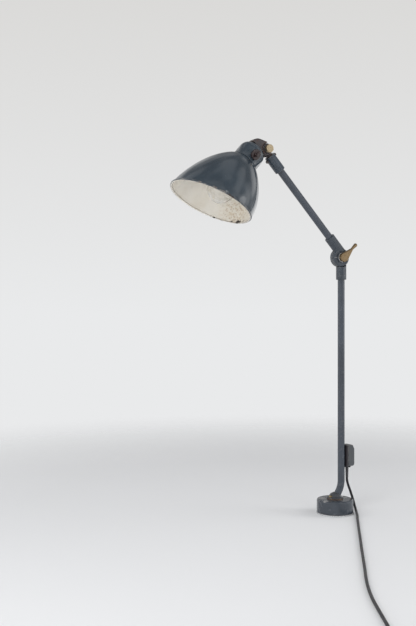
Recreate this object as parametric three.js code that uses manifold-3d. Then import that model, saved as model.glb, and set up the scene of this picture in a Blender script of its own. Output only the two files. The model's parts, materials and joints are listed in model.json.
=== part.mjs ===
// Jointed desk lamp on a round bench flange: bent lower arm with a switch box, lever-locked
// elbow, upper arm, swivelling head with an oblique bell shade, and a mains lead with its plug.
// Sizes are in millimetres and degrees, +Z is up. The origin is the middle of the base's
// underside, the arms lie in the XZ plane, the head points towards -X and the front is -Y.
import * as THREE from "three";
import { mergeVertices } from "three/addons/utils/BufferGeometryUtils.js";
import Module from "manifold-3d";

const wasm = await Module();
wasm.setup();

// ---- Driving dimensions -------------------------------------------------------------------

const GAP = 0.3; // left between pieces that touch
const RUNNING = 0.4; // radial room round anything that turns
const WELD = 1e-4; // vertices closer than this are one

const SIDES_LARGE = 36;
const SIDES_TUBE = 20;
const SIDES_SMALL = 12;
const SIDES_TINY = 8;

const BASE_RADIUS = 40;
const BASE_HEIGHT = 32;
const BASE_WALL = 9;
const BASE_TOP_THICKNESS = 5;
const BASE_EDGE_RADIUS = 4;
const PLATE_LIP = 1.3; // the plate stands out past the flange by this
const PLATE_THICKNESS = 3;
const PLATE_SCREW_CIRCLE = 35.5;
const PLATE_SCREW_RADIUS = 1.9;
const PLATE_SCREW_HEAD_RADIUS = 3.4;
const PLATE_SCREW_LENGTH = 13;
const BENCH_HOLE_CIRCLE = 21;
const BENCH_HOLE_RADIUS = 2.6;
const EDGE_PIN_RADIUS = 1.2;
const EDGE_PIN_CIRCLE = 34.5;
const EDGE_PIN_ANGLE = -49;
const EDGE_PIN_HEIGHT = 3.6;
const EDGE_PIN_DEPTH = 3.5;

const SPIGOT_RADIUS = 9;
const SPIGOT_DEPTH = 20; // below the flange's top face
const SWIVEL_WASHER_RADIUS = 17.5;
const SWIVEL_WASHER_THICKNESS = 1;
const TURRET_SKIRT_HEIGHT = 3.2;
const TURRET_MOUND_RADIUS = 13;
const TURRET_MOUND_HEIGHT = 10;
const TURRET_SCREW_HEAD_RADIUS = 3.3;
const TURRET_SCREW_HEAD_HEIGHT = 2.6;
const TURRET_SCREW_RADIUS = 1.8;
const TURRET_SCREW_ANGLES = [189, 309, 69];
const SPIGOT_NUT_RADIUS = 14.5;
const SPIGOT_NUT_HEIGHT = 7;

const TUBE_RADIUS = 7.75;
const TUBE_WALL = 1.4;
const TURRET_SCREW_CIRCLE = TUBE_RADIUS + 6.25; // the screw heads clear the tube
const TURRET_RADIUS = TURRET_SCREW_CIRCLE + 4;
const FLEX_RADIUS = 2.4; // inner wiring
const ARM_OFFSET = 16.8; // the upright stands this far from the base's axis
const FOOT_SLANT = 35;
const FOOT_BEND_RADIUS = 49;
const FOOT_RISE = 0.7; // the slanted foot aims at the base's axis this far above its top
const FOOT_END_HEIGHT = 39;
const ELBOW_HEIGHT = 564;
const ELBOW_SET_BACK = 4.4; // the pivot stands this far from the upright's axis, towards -X

const KNUCKLE_RADIUS = 20.5;
const KNUCKLE_HALF_WIDTH = 9.5;
const KNUCKLE_FILLET = 3.5;
const KNUCKLE_SPLIT = 0.8; // each half stops this far from the middle plane
const SOCKET_RADIUS = 11.5;
const LOWER_SOCKET_LENGTH = 49; // pivot to the open end of the lower socket
const UPPER_SOCKET_LENGTH = 51.5;
const UPPER_ARM_OFFSET = 9.7; // the upper arm's axis passes the pivot at this distance
const TUBE_STOP = 27; // pivot to the end of the tube in a socket
const BOLT_RADIUS = 4;
const BOLT_HEAD_RADIUS = 7.5;
const BOLT_HEAD_HEIGHT = 5;
const ELBOW_WASHER_RADIUS = 10.5;
const ELBOW_WASHER_THICKNESS = 1.8;
const SPOT_FACE_RADIUS = 12; // flat seat for the washer or the bolt head
const SOCKET_SCREW_RADIUS = 1.8;
const SOCKET_SCREW_LENGTH = 3.2;

const LEVER_ANGLE = 41.7; // above +X
const LEVER_HUB_RADIUS = 10.3;
const LEVER_NECK_RADIUS = 2.6;
const LEVER_NECK_REACH = 26;
const LEVER_THICKNESS = 9;
const LEVER_LENGTH = 45.5;
const LEVER_TIP_RADIUS = 4.2;

const UPPER_ARM_LENGTH = 294.2; // along its axis, elbow to head pivot
const UPPER_ARM_LEAN = 43.18; // from upright, towards -X
const HEAD_SLEEVE_LENGTH = 40;
const HEAD_SLEEVE_START = 16.2; // head pivot to the sleeve's mouth
const HEAD_SLEEVE_TUBE_DEPTH = 20;
const HEAD_SLEEVE_WEB = 2;
const SHANK_RADIUS = 7.4;
const SHANK_GROOVE_RADIUS = 5.4;
const SHANK_GROOVE_WIDTH = 5;
const SLEEVE_SCREW_DROP = 6; // sleeve's mouth to its two screws
const SLEEVE_SCREW_RADIUS = 1.8;
const SLEEVE_SCREW_HEAD_RADIUS = 3.3;
const SLEEVE_SCREW_HEAD_HEIGHT = 3.6;

const STEM_RADIUS = 12.8;
const EAR_RADIUS = 15.2; // at the pivot
const EAR_FOOT_RADIUS = 18.5; // on the cap's axis
const EAR_HALF_WIDTH = 12;
const STEM_HALF_WIDTH = 10.5;
const EAR_CUT_BACK = 2; // the ear's front half stops this far short of the pivot
const COLLAR_RADIUS = 9.4;
const COLLAR_THICKNESS = 2.6;
const KNOB_RADIUS = 8.6;
const KNOB_LENGTH = 8;

const HEAD_TILT = 42; // cap's axis from upright
const HEAD_PIVOT_SIDE = 17.7; // pivot to the cap's axis
const HEAD_PIVOT_HEIGHT = 57.8; // pivot above the cap's lower edge
const CAP_RADIUS = 29;
const CAP_HEIGHT = 44.8;
const CAP_SHOULDER_RADIUS = 20;
const CAP_WALL = 1.6;
const NIPPLE_RADIUS = 4.9;
const NIPPLE_BORE = 3.4;
const NIPPLE_IN_EAR = 10;
const NIPPLE_BELOW_CAP = 13;
const NIPPLE_NUT_RADIUS = 9;
const NIPPLE_NUT_HEIGHT = 4;

const HOLDER_RADIUS = 17;
const HOLDER_BASE_HEIGHT = 22;
const HOLDER_SKIRT_RADIUS = 16;
const HOLDER_SKIRT_WALL = 1.9;
const HOLDER_SKIRT_REACH = 14; // below the cap's lower edge
const SHADE_RING_RADIUS = 22;
const SHADE_RING_HEIGHT = 4.5;
const LAMP_CAP_RADIUS = 13.2;
const LAMP_CAP_LENGTH = 27;
const BULB_RADIUS = 29.5;
const BULB_NECK_RADIUS = 12.6;
const BULB_LENGTH = 98; // glass, from the lamp cap to the tip
const BULB_WALL = 0.9;
const STEM_GLASS_RADIUS = 4;
const STEM_GLASS_LENGTH = 34;

const SHADE_RIM_RADIUS = 90;
const SHADE_DEPTH = 115.5;
const SHADE_WALL = 1.3;
const SHADE_BEAD_RADIUS = 1.9;
const SHADE_RIM_TILT = 15.8; // the rim's plane against the cap's axis
const SHADE_CROWN = 1.62; // how early the bell turns down towards its wall
const SHADE_SHOULDER = 0.8; // how gently it leaves the cap
const SHADE_STEPS = 8;

const PLATE_FLAT_WIDTH = 19;
const PLATE_FLAT_HEIGHT = 23;
const PLATE_STAND = 4; // the octagon's face stands this far off the cap
const KEY_HEIGHT = 17; // above the cap's lower edge
const KEY_BOSS_RADIUS = 5.4;
const KEY_BOSS_HEIGHT = 2.6;
const KEY_WING_LENGTH = 14;
const KEY_WING_WIDTH = 4.2;
const KEY_WING_HEIGHT = 6.5;
const KEY_SPINDLE_RADIUS = 2;
const KEY_BLOCK_WIDTH = 15;
const KEY_BLOCK_DEPTH = 5;

const BOX_BOTTOM = 102.5;
const BOX_TOP = 149;
const BOX_HALF_WIDTH = 12;
const BOX_OUTER_X = 44.6; // from the base's axis
const BOX_WALL = 1.6;
const BOX_CHAMFER = 8;
const BOX_CORNER = 5;
const BACK_PLATE_THICKNESS = 3.2;
const BACK_PLATE_HALF_WIDTH = 10.5;
const BACK_PLATE_BELOW = 2.9;
const FIXING_SCREW_RADIUS = 1.6;
const FIXING_SCREW_HEAD_RADIUS = 2.9;
const FIXING_SCREW_HEIGHTS = [111, 141];
const FLEX_ENTRY_HEIGHT = 127;
const FLEX_HOLE_RADIUS = 3.2;
const FLEX_BEND_RADIUS = 7;
const SWITCH_BLOCK_HALF_WIDTH = 7.5;
const SWITCH_BLOCK_LOW = 113;
const SWITCH_BLOCK_HIGH = 121;
const BUTTON_RADIUS = 2.5;
const BUTTON_COLLAR = 0.6;
const BUTTON_OUT = 5;
const BUTTON_TRAVEL = 2.5;
const COVER_SCREW_RADIUS = 1.5;
const COVER_SCREW_HEAD_RADIUS = 2.8;
const COVER_SCREW_HEAD_HEIGHT = 1.8;

const CORD_RADIUS = 2.7;
const CORD_SIDES = 8;
const CORD_EXIT_X = 32.6;
const GLAND_BOTTOM = 78;
const GLAND_NECK_RADIUS = 3.6;
const GLAND_TIP_RADIUS = 3.1;
const GLAND_FLANGE_RADIUS = 4;
const GLAND_FLANGE_THICKNESS = 1.5;
const COIL_MIDDLE_RADIUS = 30;
const COIL_HALF_BAND = 8.2;
const COIL_BOTTOM = 1.4;
const COIL_TOP = 12.4;
const COIL_CENTRE = new THREE.Vector3(-412.2, -639.3, 0);
const TIE_HALF_WIDTH = 5;
const TIE_THICKNESS = 0.9;
const PLUG_RADIUS = 13;
const PLUG_LENGTH = 44;
const PLUG_TAIL_LENGTH = 22;
const PLUG_CENTRE_HEIGHT = 13.2;
const PLUG_PIN_RADIUS = 2.4;
const PLUG_PIN_LENGTH = 19;
const PLUG_PIN_SPACING = 19;

// Stations of the free lead from the gland to its coil, chosen by hand.
const CORD_ROUTE = [
  [32.6, 0, 77.7],
  [32.8, -0.1, 70],
  [34.6, -1, 61],
  [37.9, -2.9, 50],
  [41.1, -5.3, 38],
  [43.5, -8.2, 26],
  [43.8, -13.2, 14.5],
  [40.7, -21.5, 6.9],
  [34.6, -32, 3.4],
  [25.7, -45.4, 2.8],
  [4.5, -73.7, 2.8],
  [-34.4, -126.7, 2.8],
  [-78.9, -188, 2.8],
  [-128.9, -256.5, 2.8],
  [-167.8, -310.6, 2.8],
  [-202.6, -358.9, 2.8],
  [-236, -404.6, 2.8],
  [-265.7, -447.7, 2.8],
  [-293.6, -492.9, 2.8],
  [-319.9, -541.2, 2.8],
  [-345.5, -589.4, 2.8],
  [-358, -613, 2.8],
  [-371.2, -637.7, 2.8],
];

// Stations of the short tail from the coil to the plug.
const TAIL_ROUTE = [
  [-447.2, -660.8, 9.8],
  [-456, -656.1, 10.6],
  [-465, -651.4, 11.9],
  [-474, -646.6, 12.9],
  [-483, -641.8, 13.2],
];

// ---- Shape helpers ------------------------------------------------------------------------

// A closed geometry as a solid that can be joined and cut.
function solidOf(geometry) {
  const bare = geometry.clone();
  bare.deleteAttribute("normal");
  bare.deleteAttribute("uv");
  const merged = mergeVertices(bare, WELD);
  return new wasm.Manifold(
    new wasm.Mesh({
      numProp: 3,
      vertProperties: merged.attributes.position.array,
      triVerts: new Uint32Array(merged.index.array),
    }),
  );
}

// A solid's surface as a geometry.
function geometryOf(solid) {
  const mesh = solid.getMesh();
  const geometry = new THREE.BufferGeometry();
  geometry.setAttribute("position", new THREE.BufferAttribute(new Float32Array(mesh.vertProperties), 3));
  geometry.setIndex(new THREE.BufferAttribute(new Uint32Array(mesh.triVerts), 1));
  geometry.computeVertexNormals();
  return geometry;
}

function join(first, ...others) {
  return geometryOf(others.reduce((whole, piece) => whole.add(solidOf(piece)), solidOf(first)));
}

function cut(first, ...tools) {
  return geometryOf(tools.reduce((whole, tool) => whole.subtract(solidOf(tool)), solidOf(first)));
}

// Turns a profile of [radius, height] points, listed upwards on the outside, about Z.
function revolve(profile, sides) {
  const points = profile.map(([radius, height]) => new THREE.Vector2(radius, height));
  return new THREE.LatheGeometry(points, sides).rotateX(Math.PI / 2);
}

function disc(radius, low, high, sides) {
  return revolve([[0, low], [radius, low], [radius, high], [0, high]], sides);
}

function ring(inner, outer, low, high, sides) {
  return revolve([[inner, low], [outer, low], [outer, high], [inner, high], [inner, low]], sides);
}

// Points [x, y] on an arc, from one angle to another in degrees.
function arc(centreX, centreY, radius, from, to, steps) {
  return Array.from({ length: steps + 1 }, (_, i) => {
    const angle = THREE.MathUtils.degToRad(from + ((to - from) * i) / steps);
    return [centreX + radius * Math.cos(angle), centreY + radius * Math.sin(angle)];
  });
}

// A disc whose two outer edges are rounded.
function roundedDisc(radius, low, high, fillet, sides) {
  const lower = arc(radius - fillet, low + fillet, fillet, -90, 0, 3);
  const upper = arc(radius - fillet, high - fillet, fillet, 0, 90, 3);
  return revolve([[0, low], ...lower, ...upper, [0, high]], sides);
}

// Lays a piece made along Z so that its Z points to the front (-Y) or to the rear (+Y).
function toFront(geometry) {
  return geometry.rotateX(Math.PI / 2);
}

function toRear(geometry) {
  return geometry.rotateX(-Math.PI / 2);
}

// Lays a piece made along Z so that its Z points along +X.
function toSide(geometry) {
  return geometry.rotateY(Math.PI / 2);
}

function polygon(radius, sides) {
  return Array.from({ length: sides }, (_, i) => {
    const angle = (2 * Math.PI * i) / sides;
    return new THREE.Vector2(radius * Math.cos(angle), radius * Math.sin(angle));
  });
}

// A path that puts one section at each of its stations.
class StationPath extends THREE.Curve {
  constructor(stations) {
    super();
    this.stations = stations;
  }

  getPoint(t, target = new THREE.Vector3()) {
    const last = this.stations.length - 1;
    const index = Math.min(Math.floor(t * last + 1e-9), last - 1);
    return target.lerpVectors(this.stations[index], this.stations[index + 1], t * last - index);
  }

  getPointAt(t, target) {
    return this.getPoint(t, target);
  }

  getTangentAt(t, target = new THREE.Vector3()) {
    const last = this.stations.length - 1;
    const index = Math.round(t * last);
    const before = this.stations[Math.max(index - 1, 0)];
    const after = this.stations[Math.min(index + 1, last)];
    const here = this.stations[index];
    const arriving = new THREE.Vector3().subVectors(here, before).normalize();
    const leaving = new THREE.Vector3().subVectors(after, here).normalize();
    return target.addVectors(arriving, leaving).normalize();
  }
}

// A round rod or, with a bore, a tube that passes through its stations.
function pathTube(stations, radius, sides, bore = 0) {
  const section = new THREE.Shape(polygon(radius, sides));
  if (bore > 0) {
    section.holes.push(new THREE.Path(polygon(bore, sides).reverse()));
  }
  return new THREE.ExtrudeGeometry(section, {
    steps: stations.length - 1,
    bevelEnabled: false,
    extrudePath: new StationPath(stations),
  });
}

// A flat outline in XZ, given as [x, z] points anticlockwise, made thick from one front distance
// to another.
function slab(outline, near, far, bevel = 0) {
  const shape = new THREE.Shape(outline.map(([x, z]) => new THREE.Vector2(x, z)));
  const plate = new THREE.ExtrudeGeometry(shape, {
    depth: far - near - 2 * bevel,
    bevelEnabled: bevel > 0,
    bevelThickness: bevel,
    bevelSize: bevel,
    bevelOffset: -bevel,
    bevelSegments: 2,
  });
  return toFront(plate.translate(0, 0, near + bevel));
}

// The outline round two circles of given radii, the second at a place in X and Z.
function hullOutline(radiusA, radiusB, x, z, steps) {
  const distance = Math.hypot(x, z);
  const heading = THREE.MathUtils.radToDeg(Math.atan2(z, x));
  const spread = THREE.MathUtils.radToDeg(Math.acos((radiusA - radiusB) / distance));
  return [
    ...arc(0, 0, radiusA, heading + spread, heading + 360 - spread, steps),
    ...arc(x, z, radiusB, heading - spread, heading + spread, steps),
  ];
}

function at(geometry, x, y, z) {
  return geometry.translate(x, y, z);
}

// A place on a circle about Z, its angle in degrees from +X.
function onCircle(geometry, radius, angle) {
  const turn = THREE.MathUtils.degToRad(angle);
  return geometry.translate(radius * Math.cos(turn), radius * Math.sin(turn), 0);
}

// ---- Base ---------------------------------------------------------------------------------

const FLANGE_BOTTOM = PLATE_THICKNESS + GAP;
const FLANGE_CEILING = BASE_HEIGHT - BASE_TOP_THICKNESS;
const THIRDS = [0, 120, 240];

function baseFlange() {
  const bore = SPIGOT_RADIUS + RUNNING;
  const body = revolve(
    [
      [BASE_RADIUS - BASE_WALL, FLANGE_BOTTOM],
      [BASE_RADIUS, FLANGE_BOTTOM],
      ...arc(BASE_RADIUS - BASE_EDGE_RADIUS, BASE_HEIGHT - BASE_EDGE_RADIUS, BASE_EDGE_RADIUS, 0, 90, 4),
      [bore, BASE_HEIGHT],
      [bore, FLANGE_CEILING],
      [BASE_RADIUS - BASE_WALL, FLANGE_CEILING],
      [BASE_RADIUS - BASE_WALL, FLANGE_BOTTOM],
    ],
    SIDES_LARGE,
  );
  const screwHoles = THIRDS.map((angle) => {
    const hole = disc(PLATE_SCREW_RADIUS + GAP, 0, PLATE_SCREW_LENGTH + 2, SIDES_TINY);
    return onCircle(hole, PLATE_SCREW_CIRCLE, angle);
  });
  const pinDepth = BASE_HEIGHT - EDGE_PIN_DEPTH - GAP;
  const pinHole = disc(EDGE_PIN_RADIUS + GAP, pinDepth, BASE_HEIGHT + 1, SIDES_TINY);
  return cut(body, ...screwHoles, onCircle(pinHole, EDGE_PIN_CIRCLE, EDGE_PIN_ANGLE));
}

function bottomPlate() {
  const body = roundedDisc(BASE_RADIUS + PLATE_LIP, 0, PLATE_THICKNESS, 0.8, SIDES_LARGE);
  const benchHoles = THIRDS.map((angle) => {
    const hole = disc(BENCH_HOLE_RADIUS, -1, PLATE_THICKNESS + 1, SIDES_SMALL);
    return onCircle(hole, BENCH_HOLE_CIRCLE, angle + 60);
  });
  const sinks = THIRDS.map((angle) => onCircle(plateScrewShape(GAP, -1), PLATE_SCREW_CIRCLE, angle));
  return cut(body, ...benchHoles, ...sinks);
}

// A countersunk screw pointing up, its size grown all round by a clearance.
function plateScrewShape(clearance, low) {
  const cone = PLATE_SCREW_HEAD_RADIUS - PLATE_SCREW_RADIUS;
  return revolve(
    [
      [0, low],
      [PLATE_SCREW_HEAD_RADIUS + clearance, low],
      [PLATE_SCREW_HEAD_RADIUS + clearance, 0.4],
      [PLATE_SCREW_RADIUS + clearance, 0.4 + cone],
      [PLATE_SCREW_RADIUS + clearance, PLATE_SCREW_LENGTH],
      [0, PLATE_SCREW_LENGTH],
    ],
    SIDES_TINY,
  );
}

function plateScrew(angle) {
  return onCircle(plateScrewShape(0, 0.1), PLATE_SCREW_CIRCLE, angle);
}

function edgePin() {
  const bottom = BASE_HEIGHT - EDGE_PIN_DEPTH;
  const pin = roundedDisc(EDGE_PIN_RADIUS, bottom, BASE_HEIGHT + EDGE_PIN_HEIGHT, 0.5, SIDES_TINY);
  return onCircle(pin, EDGE_PIN_CIRCLE, EDGE_PIN_ANGLE);
}

// ---- Swivel at the foot -------------------------------------------------------------------

const SWIVEL_WASHER_TOP = BASE_HEIGHT + GAP + SWIVEL_WASHER_THICKNESS;
const TURRET_BOTTOM = SWIVEL_WASHER_TOP + GAP;
const TURRET_TOP = TURRET_BOTTOM + TURRET_SKIRT_HEIGHT;
const SPIGOT_BOTTOM = BASE_HEIGHT - SPIGOT_DEPTH;

// A point on the axis of the slanted foot at a height.
function footPoint(height) {
  const slant = THREE.MathUtils.degToRad(FOOT_SLANT);
  return new THREE.Vector3((height - BASE_HEIGHT - FOOT_RISE) * Math.tan(slant), 0, height);
}

function turret() {
  const mound = arc(0, 0, 1, 0, 90, 4).map(([across, up]) => [
    TURRET_MOUND_RADIUS * across,
    TURRET_TOP + TURRET_MOUND_HEIGHT * up,
  ]);
  const body = revolve(
    [
      [0, SPIGOT_BOTTOM],
      [SPIGOT_RADIUS, SPIGOT_BOTTOM],
      [SPIGOT_RADIUS, TURRET_BOTTOM],
      [TURRET_RADIUS, TURRET_BOTTOM],
      ...arc(TURRET_RADIUS - 2, TURRET_TOP - 2, 2, 0, 90, 3),
      ...mound,
    ],
    SIDES_LARGE,
  );
  const below = footPoint(FOOT_END_HEIGHT - GAP);
  const above = footPoint(FOOT_END_HEIGHT + 40);
  const socket = pathTube([below, above], TUBE_RADIUS + GAP, SIDES_TUBE);
  const screwHoles = TURRET_SCREW_ANGLES.map((angle) => {
    const profile = [
      [0, TURRET_BOTTOM - 1],
      [TURRET_SCREW_RADIUS + GAP, TURRET_BOTTOM - 1],
      [TURRET_SCREW_RADIUS + GAP, TURRET_TOP],
      [TURRET_SCREW_HEAD_RADIUS + GAP, TURRET_TOP],
      [TURRET_SCREW_HEAD_RADIUS + GAP, TURRET_TOP + TURRET_MOUND_HEIGHT],
      [0, TURRET_TOP + TURRET_MOUND_HEIGHT],
    ];
    return onCircle(revolve(profile, SIDES_SMALL), TURRET_SCREW_CIRCLE, angle);
  });
  return cut(body, socket, ...screwHoles);
}

// A cheese-head screw with a slot, its tip at the swivel washer.
function turretScrew(angle) {
  const seat = TURRET_TOP + GAP;
  const top = seat + TURRET_SCREW_HEAD_HEIGHT;
  const body = revolve(
    [
      [0, TURRET_BOTTOM],
      [TURRET_SCREW_RADIUS, TURRET_BOTTOM],
      [TURRET_SCREW_RADIUS, seat],
      [TURRET_SCREW_HEAD_RADIUS, seat],
      [TURRET_SCREW_HEAD_RADIUS, top - 0.6],
      [TURRET_SCREW_HEAD_RADIUS - 0.7, top],
      [0, top],
    ],
    SIDES_SMALL,
  );
  const slot = at(new THREE.BoxGeometry(10, 0.9, 2), 0, 0, top);
  return onCircle(cut(body, slot), TURRET_SCREW_CIRCLE, angle);
}

function swivelWasher() {
  const low = BASE_HEIGHT + GAP;
  return ring(SPIGOT_RADIUS + GAP, SWIVEL_WASHER_RADIUS, low, SWIVEL_WASHER_TOP, SIDES_LARGE);
}

function spigotNut() {
  const top = FLANGE_CEILING - GAP;
  const low = top - SPIGOT_NUT_HEIGHT;
  const bore = disc(SPIGOT_RADIUS + GAP, low - 1, top + 1, SIDES_TUBE);
  return cut(disc(SPIGOT_NUT_RADIUS, low, top, 6), bore);
}

// ---- Lower arm ----------------------------------------------------------------------------

const TUBE_BORE = TUBE_RADIUS - TUBE_WALL;
const BOX_INNER_X = ARM_OFFSET + TUBE_RADIUS + GAP + BACK_PLATE_THICKNESS + GAP;

function lowerTube() {
  const bendStart = ARM_OFFSET - FOOT_BEND_RADIUS * (1 - Math.cos(THREE.MathUtils.degToRad(FOOT_SLANT)));
  const startHeight = BASE_HEIGHT + FOOT_RISE + bendStart / Math.tan(THREE.MathUtils.degToRad(FOOT_SLANT));
  const endHeight = startHeight + FOOT_BEND_RADIUS * Math.sin(THREE.MathUtils.degToRad(FOOT_SLANT));
  const bend = arc(ARM_OFFSET - FOOT_BEND_RADIUS, endHeight, FOOT_BEND_RADIUS, -FOOT_SLANT, 0, 5);
  const stations = [
    footPoint(FOOT_END_HEIGHT),
    ...bend.map(([x, z]) => new THREE.Vector3(x, 0, z)),
    new THREE.Vector3(ARM_OFFSET, 0, ELBOW_HEIGHT - TUBE_STOP - GAP),
  ];
  const tube = pathTube(stations, TUBE_RADIUS, SIDES_TUBE, TUBE_BORE);
  const wireHole = toSide(disc(FLEX_HOLE_RADIUS, 0, TUBE_RADIUS + 2, SIDES_SMALL));
  const screwHoles = FIXING_SCREW_HEIGHTS.map((height) => {
    const hole = toSide(disc(FIXING_SCREW_RADIUS + GAP, 0, TUBE_RADIUS + 2, SIDES_TINY));
    return at(hole, ARM_OFFSET, 0, height);
  });
  return cut(tube, at(wireHole, ARM_OFFSET, 0, FLEX_ENTRY_HEIGHT), ...screwHoles);
}

// The wire from inside the switch box, through the tube's side and up to the elbow.
function lowerFlex() {
  const centre = [ARM_OFFSET + FLEX_BEND_RADIUS, FLEX_ENTRY_HEIGHT + FLEX_BEND_RADIUS];
  const bend = arc(centre[0], centre[1], FLEX_BEND_RADIUS, 270, 180, 5);
  const stations = [
    new THREE.Vector3(BOX_INNER_X + 3, 0, FLEX_ENTRY_HEIGHT),
    ...bend.map(([x, z]) => new THREE.Vector3(x, 0, z)),
    new THREE.Vector3(ARM_OFFSET, 0, ELBOW_HEIGHT - TUBE_STOP - 1),
  ];
  return pathTube(stations, FLEX_RADIUS, SIDES_TINY);
}

// ---- Switch box ---------------------------------------------------------------------------

const BACK_PLATE_X = ARM_OFFSET + TUBE_RADIUS + GAP;
const BUTTON_X = BOX_OUTER_X - BOX_WALL - BUTTON_RADIUS - BUTTON_COLLAR - GAP;
const COVER_SCREW_HEIGHT = (SWITCH_BLOCK_LOW + SWITCH_BLOCK_HIGH) / 2;

function boxOutline(inset) {
  const right = BOX_OUTER_X - inset;
  const top = BOX_TOP - inset;
  const bottom = BOX_BOTTOM + inset;
  const left = inset > 0 ? BOX_INNER_X - 1 : BOX_INNER_X;
  const corner = BOX_CORNER - inset;
  return [
    [left, bottom],
    ...arc(right - corner, bottom + corner, corner, -90, 0, 4),
    [right, top - BOX_CHAMFER],
    [right - BOX_CHAMFER * 0.55, top],
    [left, top],
  ];
}

function boxCover() {
  const shell = slab(boxOutline(0), -BOX_HALF_WIDTH, BOX_HALF_WIDTH, 1.2);
  const hollow = slab(boxOutline(BOX_WALL), BOX_WALL - BOX_HALF_WIDTH, BOX_HALF_WIDTH - BOX_WALL);
  const buttonHole = disc(BUTTON_RADIUS + RUNNING, BOX_BOTTOM - 3, BOX_BOTTOM + 4, SIDES_SMALL);
  const glandHole = disc(GLAND_NECK_RADIUS + GAP, BOX_BOTTOM - 3, BOX_BOTTOM + 4, SIDES_SMALL);
  const screwHole = toSide(disc(COVER_SCREW_RADIUS + GAP, BOX_OUTER_X - 5, BOX_OUTER_X + 2, SIDES_TINY));
  return cut(
    shell,
    hollow,
    at(buttonHole, BUTTON_X, 0, 0),
    at(glandHole, CORD_EXIT_X, 0, 0),
    at(screwHole, 0, 0, COVER_SCREW_HEIGHT),
  );
}

function backPlate() {
  const low = BOX_BOTTOM - BACK_PLATE_BELOW;
  const height = BOX_TOP - low;
  const body = new THREE.BoxGeometry(BACK_PLATE_THICKNESS, 2 * BACK_PLATE_HALF_WIDTH, height);
  const middleX = BACK_PLATE_X + BACK_PLATE_THICKNESS / 2;
  const holes = [
    at(toSide(disc(FLEX_HOLE_RADIUS, 0, 50, SIDES_SMALL)), 0, 0, FLEX_ENTRY_HEIGHT),
    ...FIXING_SCREW_HEIGHTS.map((level) =>
      at(toSide(disc(FIXING_SCREW_RADIUS + GAP, 0, 50, SIDES_TINY)), 0, 0, level),
    ),
  ];
  return cut(at(body, middleX, 0, low + height / 2), ...holes);
}

// A round-head screw from the box's back plate into the tube's wall.
function fixingScrew(height) {
  const seat = BACK_PLATE_X + BACK_PLATE_THICKNESS + GAP;
  const tip = ARM_OFFSET + TUBE_BORE - 0.5;
  const body = revolve(
    [
      [0, tip],
      [FIXING_SCREW_RADIUS, tip],
      [FIXING_SCREW_RADIUS, seat],
      [FIXING_SCREW_HEAD_RADIUS, seat],
      [FIXING_SCREW_HEAD_RADIUS, seat + 1],
      [0, seat + 1.8],
    ],
    SIDES_TINY,
  );
  return at(toSide(body), 0, 0, height);
}

function switchBlock() {
  const low = BOX_INNER_X + 2;
  const high = BOX_OUTER_X - BOX_WALL - 1;
  const height = SWITCH_BLOCK_HIGH - SWITCH_BLOCK_LOW;
  const body = new THREE.BoxGeometry(high - low, 2 * SWITCH_BLOCK_HALF_WIDTH, height);
  const hole = toSide(disc(COVER_SCREW_RADIUS + GAP, high - 5, high + 2, SIDES_TINY));
  return cut(at(body, (low + high) / 2, 0, COVER_SCREW_HEIGHT), at(hole, 0, 0, COVER_SCREW_HEIGHT));
}

function switchButton() {
  const top = SWITCH_BLOCK_LOW - BUTTON_TRAVEL - GAP;
  const collarBottom = BOX_BOTTOM + BOX_CORNER;
  const bottom = BOX_BOTTOM - BUTTON_OUT;
  return at(
    revolve(
      [
        [0, bottom],
        ...arc(BUTTON_RADIUS - 1, bottom + 1, 1, -90, 0, 3),
        [BUTTON_RADIUS, collarBottom],
        [BUTTON_RADIUS + BUTTON_COLLAR, collarBottom],
        [BUTTON_RADIUS + BUTTON_COLLAR, collarBottom + 1.5],
        [BUTTON_RADIUS - 1, collarBottom + 1.5],
        [BUTTON_RADIUS - 1, top],
        [0, top],
      ],
      SIDES_SMALL,
    ),
    BUTTON_X,
    0,
    0,
  );
}

function coverScrew() {
  const seat = BOX_OUTER_X + GAP;
  const body = revolve(
    [
      [0, seat - 5.5],
      [COVER_SCREW_RADIUS, seat - 5.5],
      [COVER_SCREW_RADIUS, seat],
      [COVER_SCREW_HEAD_RADIUS, seat],
      [COVER_SCREW_HEAD_RADIUS - 0.4, seat + COVER_SCREW_HEAD_HEIGHT * 0.7],
      [0, seat + COVER_SCREW_HEAD_HEIGHT],
    ],
    SIDES_SMALL,
  );
  const slot = at(new THREE.BoxGeometry(1.2, 0.8, 8), seat + COVER_SCREW_HEAD_HEIGHT, 0, 0);
  return at(cut(toSide(body), slot), 0, 0, COVER_SCREW_HEIGHT);
}

// The tapered rubber sleeve that the lead leaves through.
function cordGland() {
  const inside = BOX_BOTTOM + BOX_WALL + GAP;
  return at(
    revolve(
      [
        [0, GLAND_BOTTOM],
        [GLAND_TIP_RADIUS, GLAND_BOTTOM],
        [GLAND_NECK_RADIUS, BOX_BOTTOM - 4],
        [GLAND_NECK_RADIUS, inside],
        [GLAND_FLANGE_RADIUS, inside],
        [GLAND_FLANGE_RADIUS, inside + GLAND_FLANGE_THICKNESS],
        [0, inside + GLAND_FLANGE_THICKNESS],
      ],
      SIDES_SMALL,
    ),
    CORD_EXIT_X,
    0,
    0,
  );
}

// ---- Elbow --------------------------------------------------------------------------------

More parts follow.
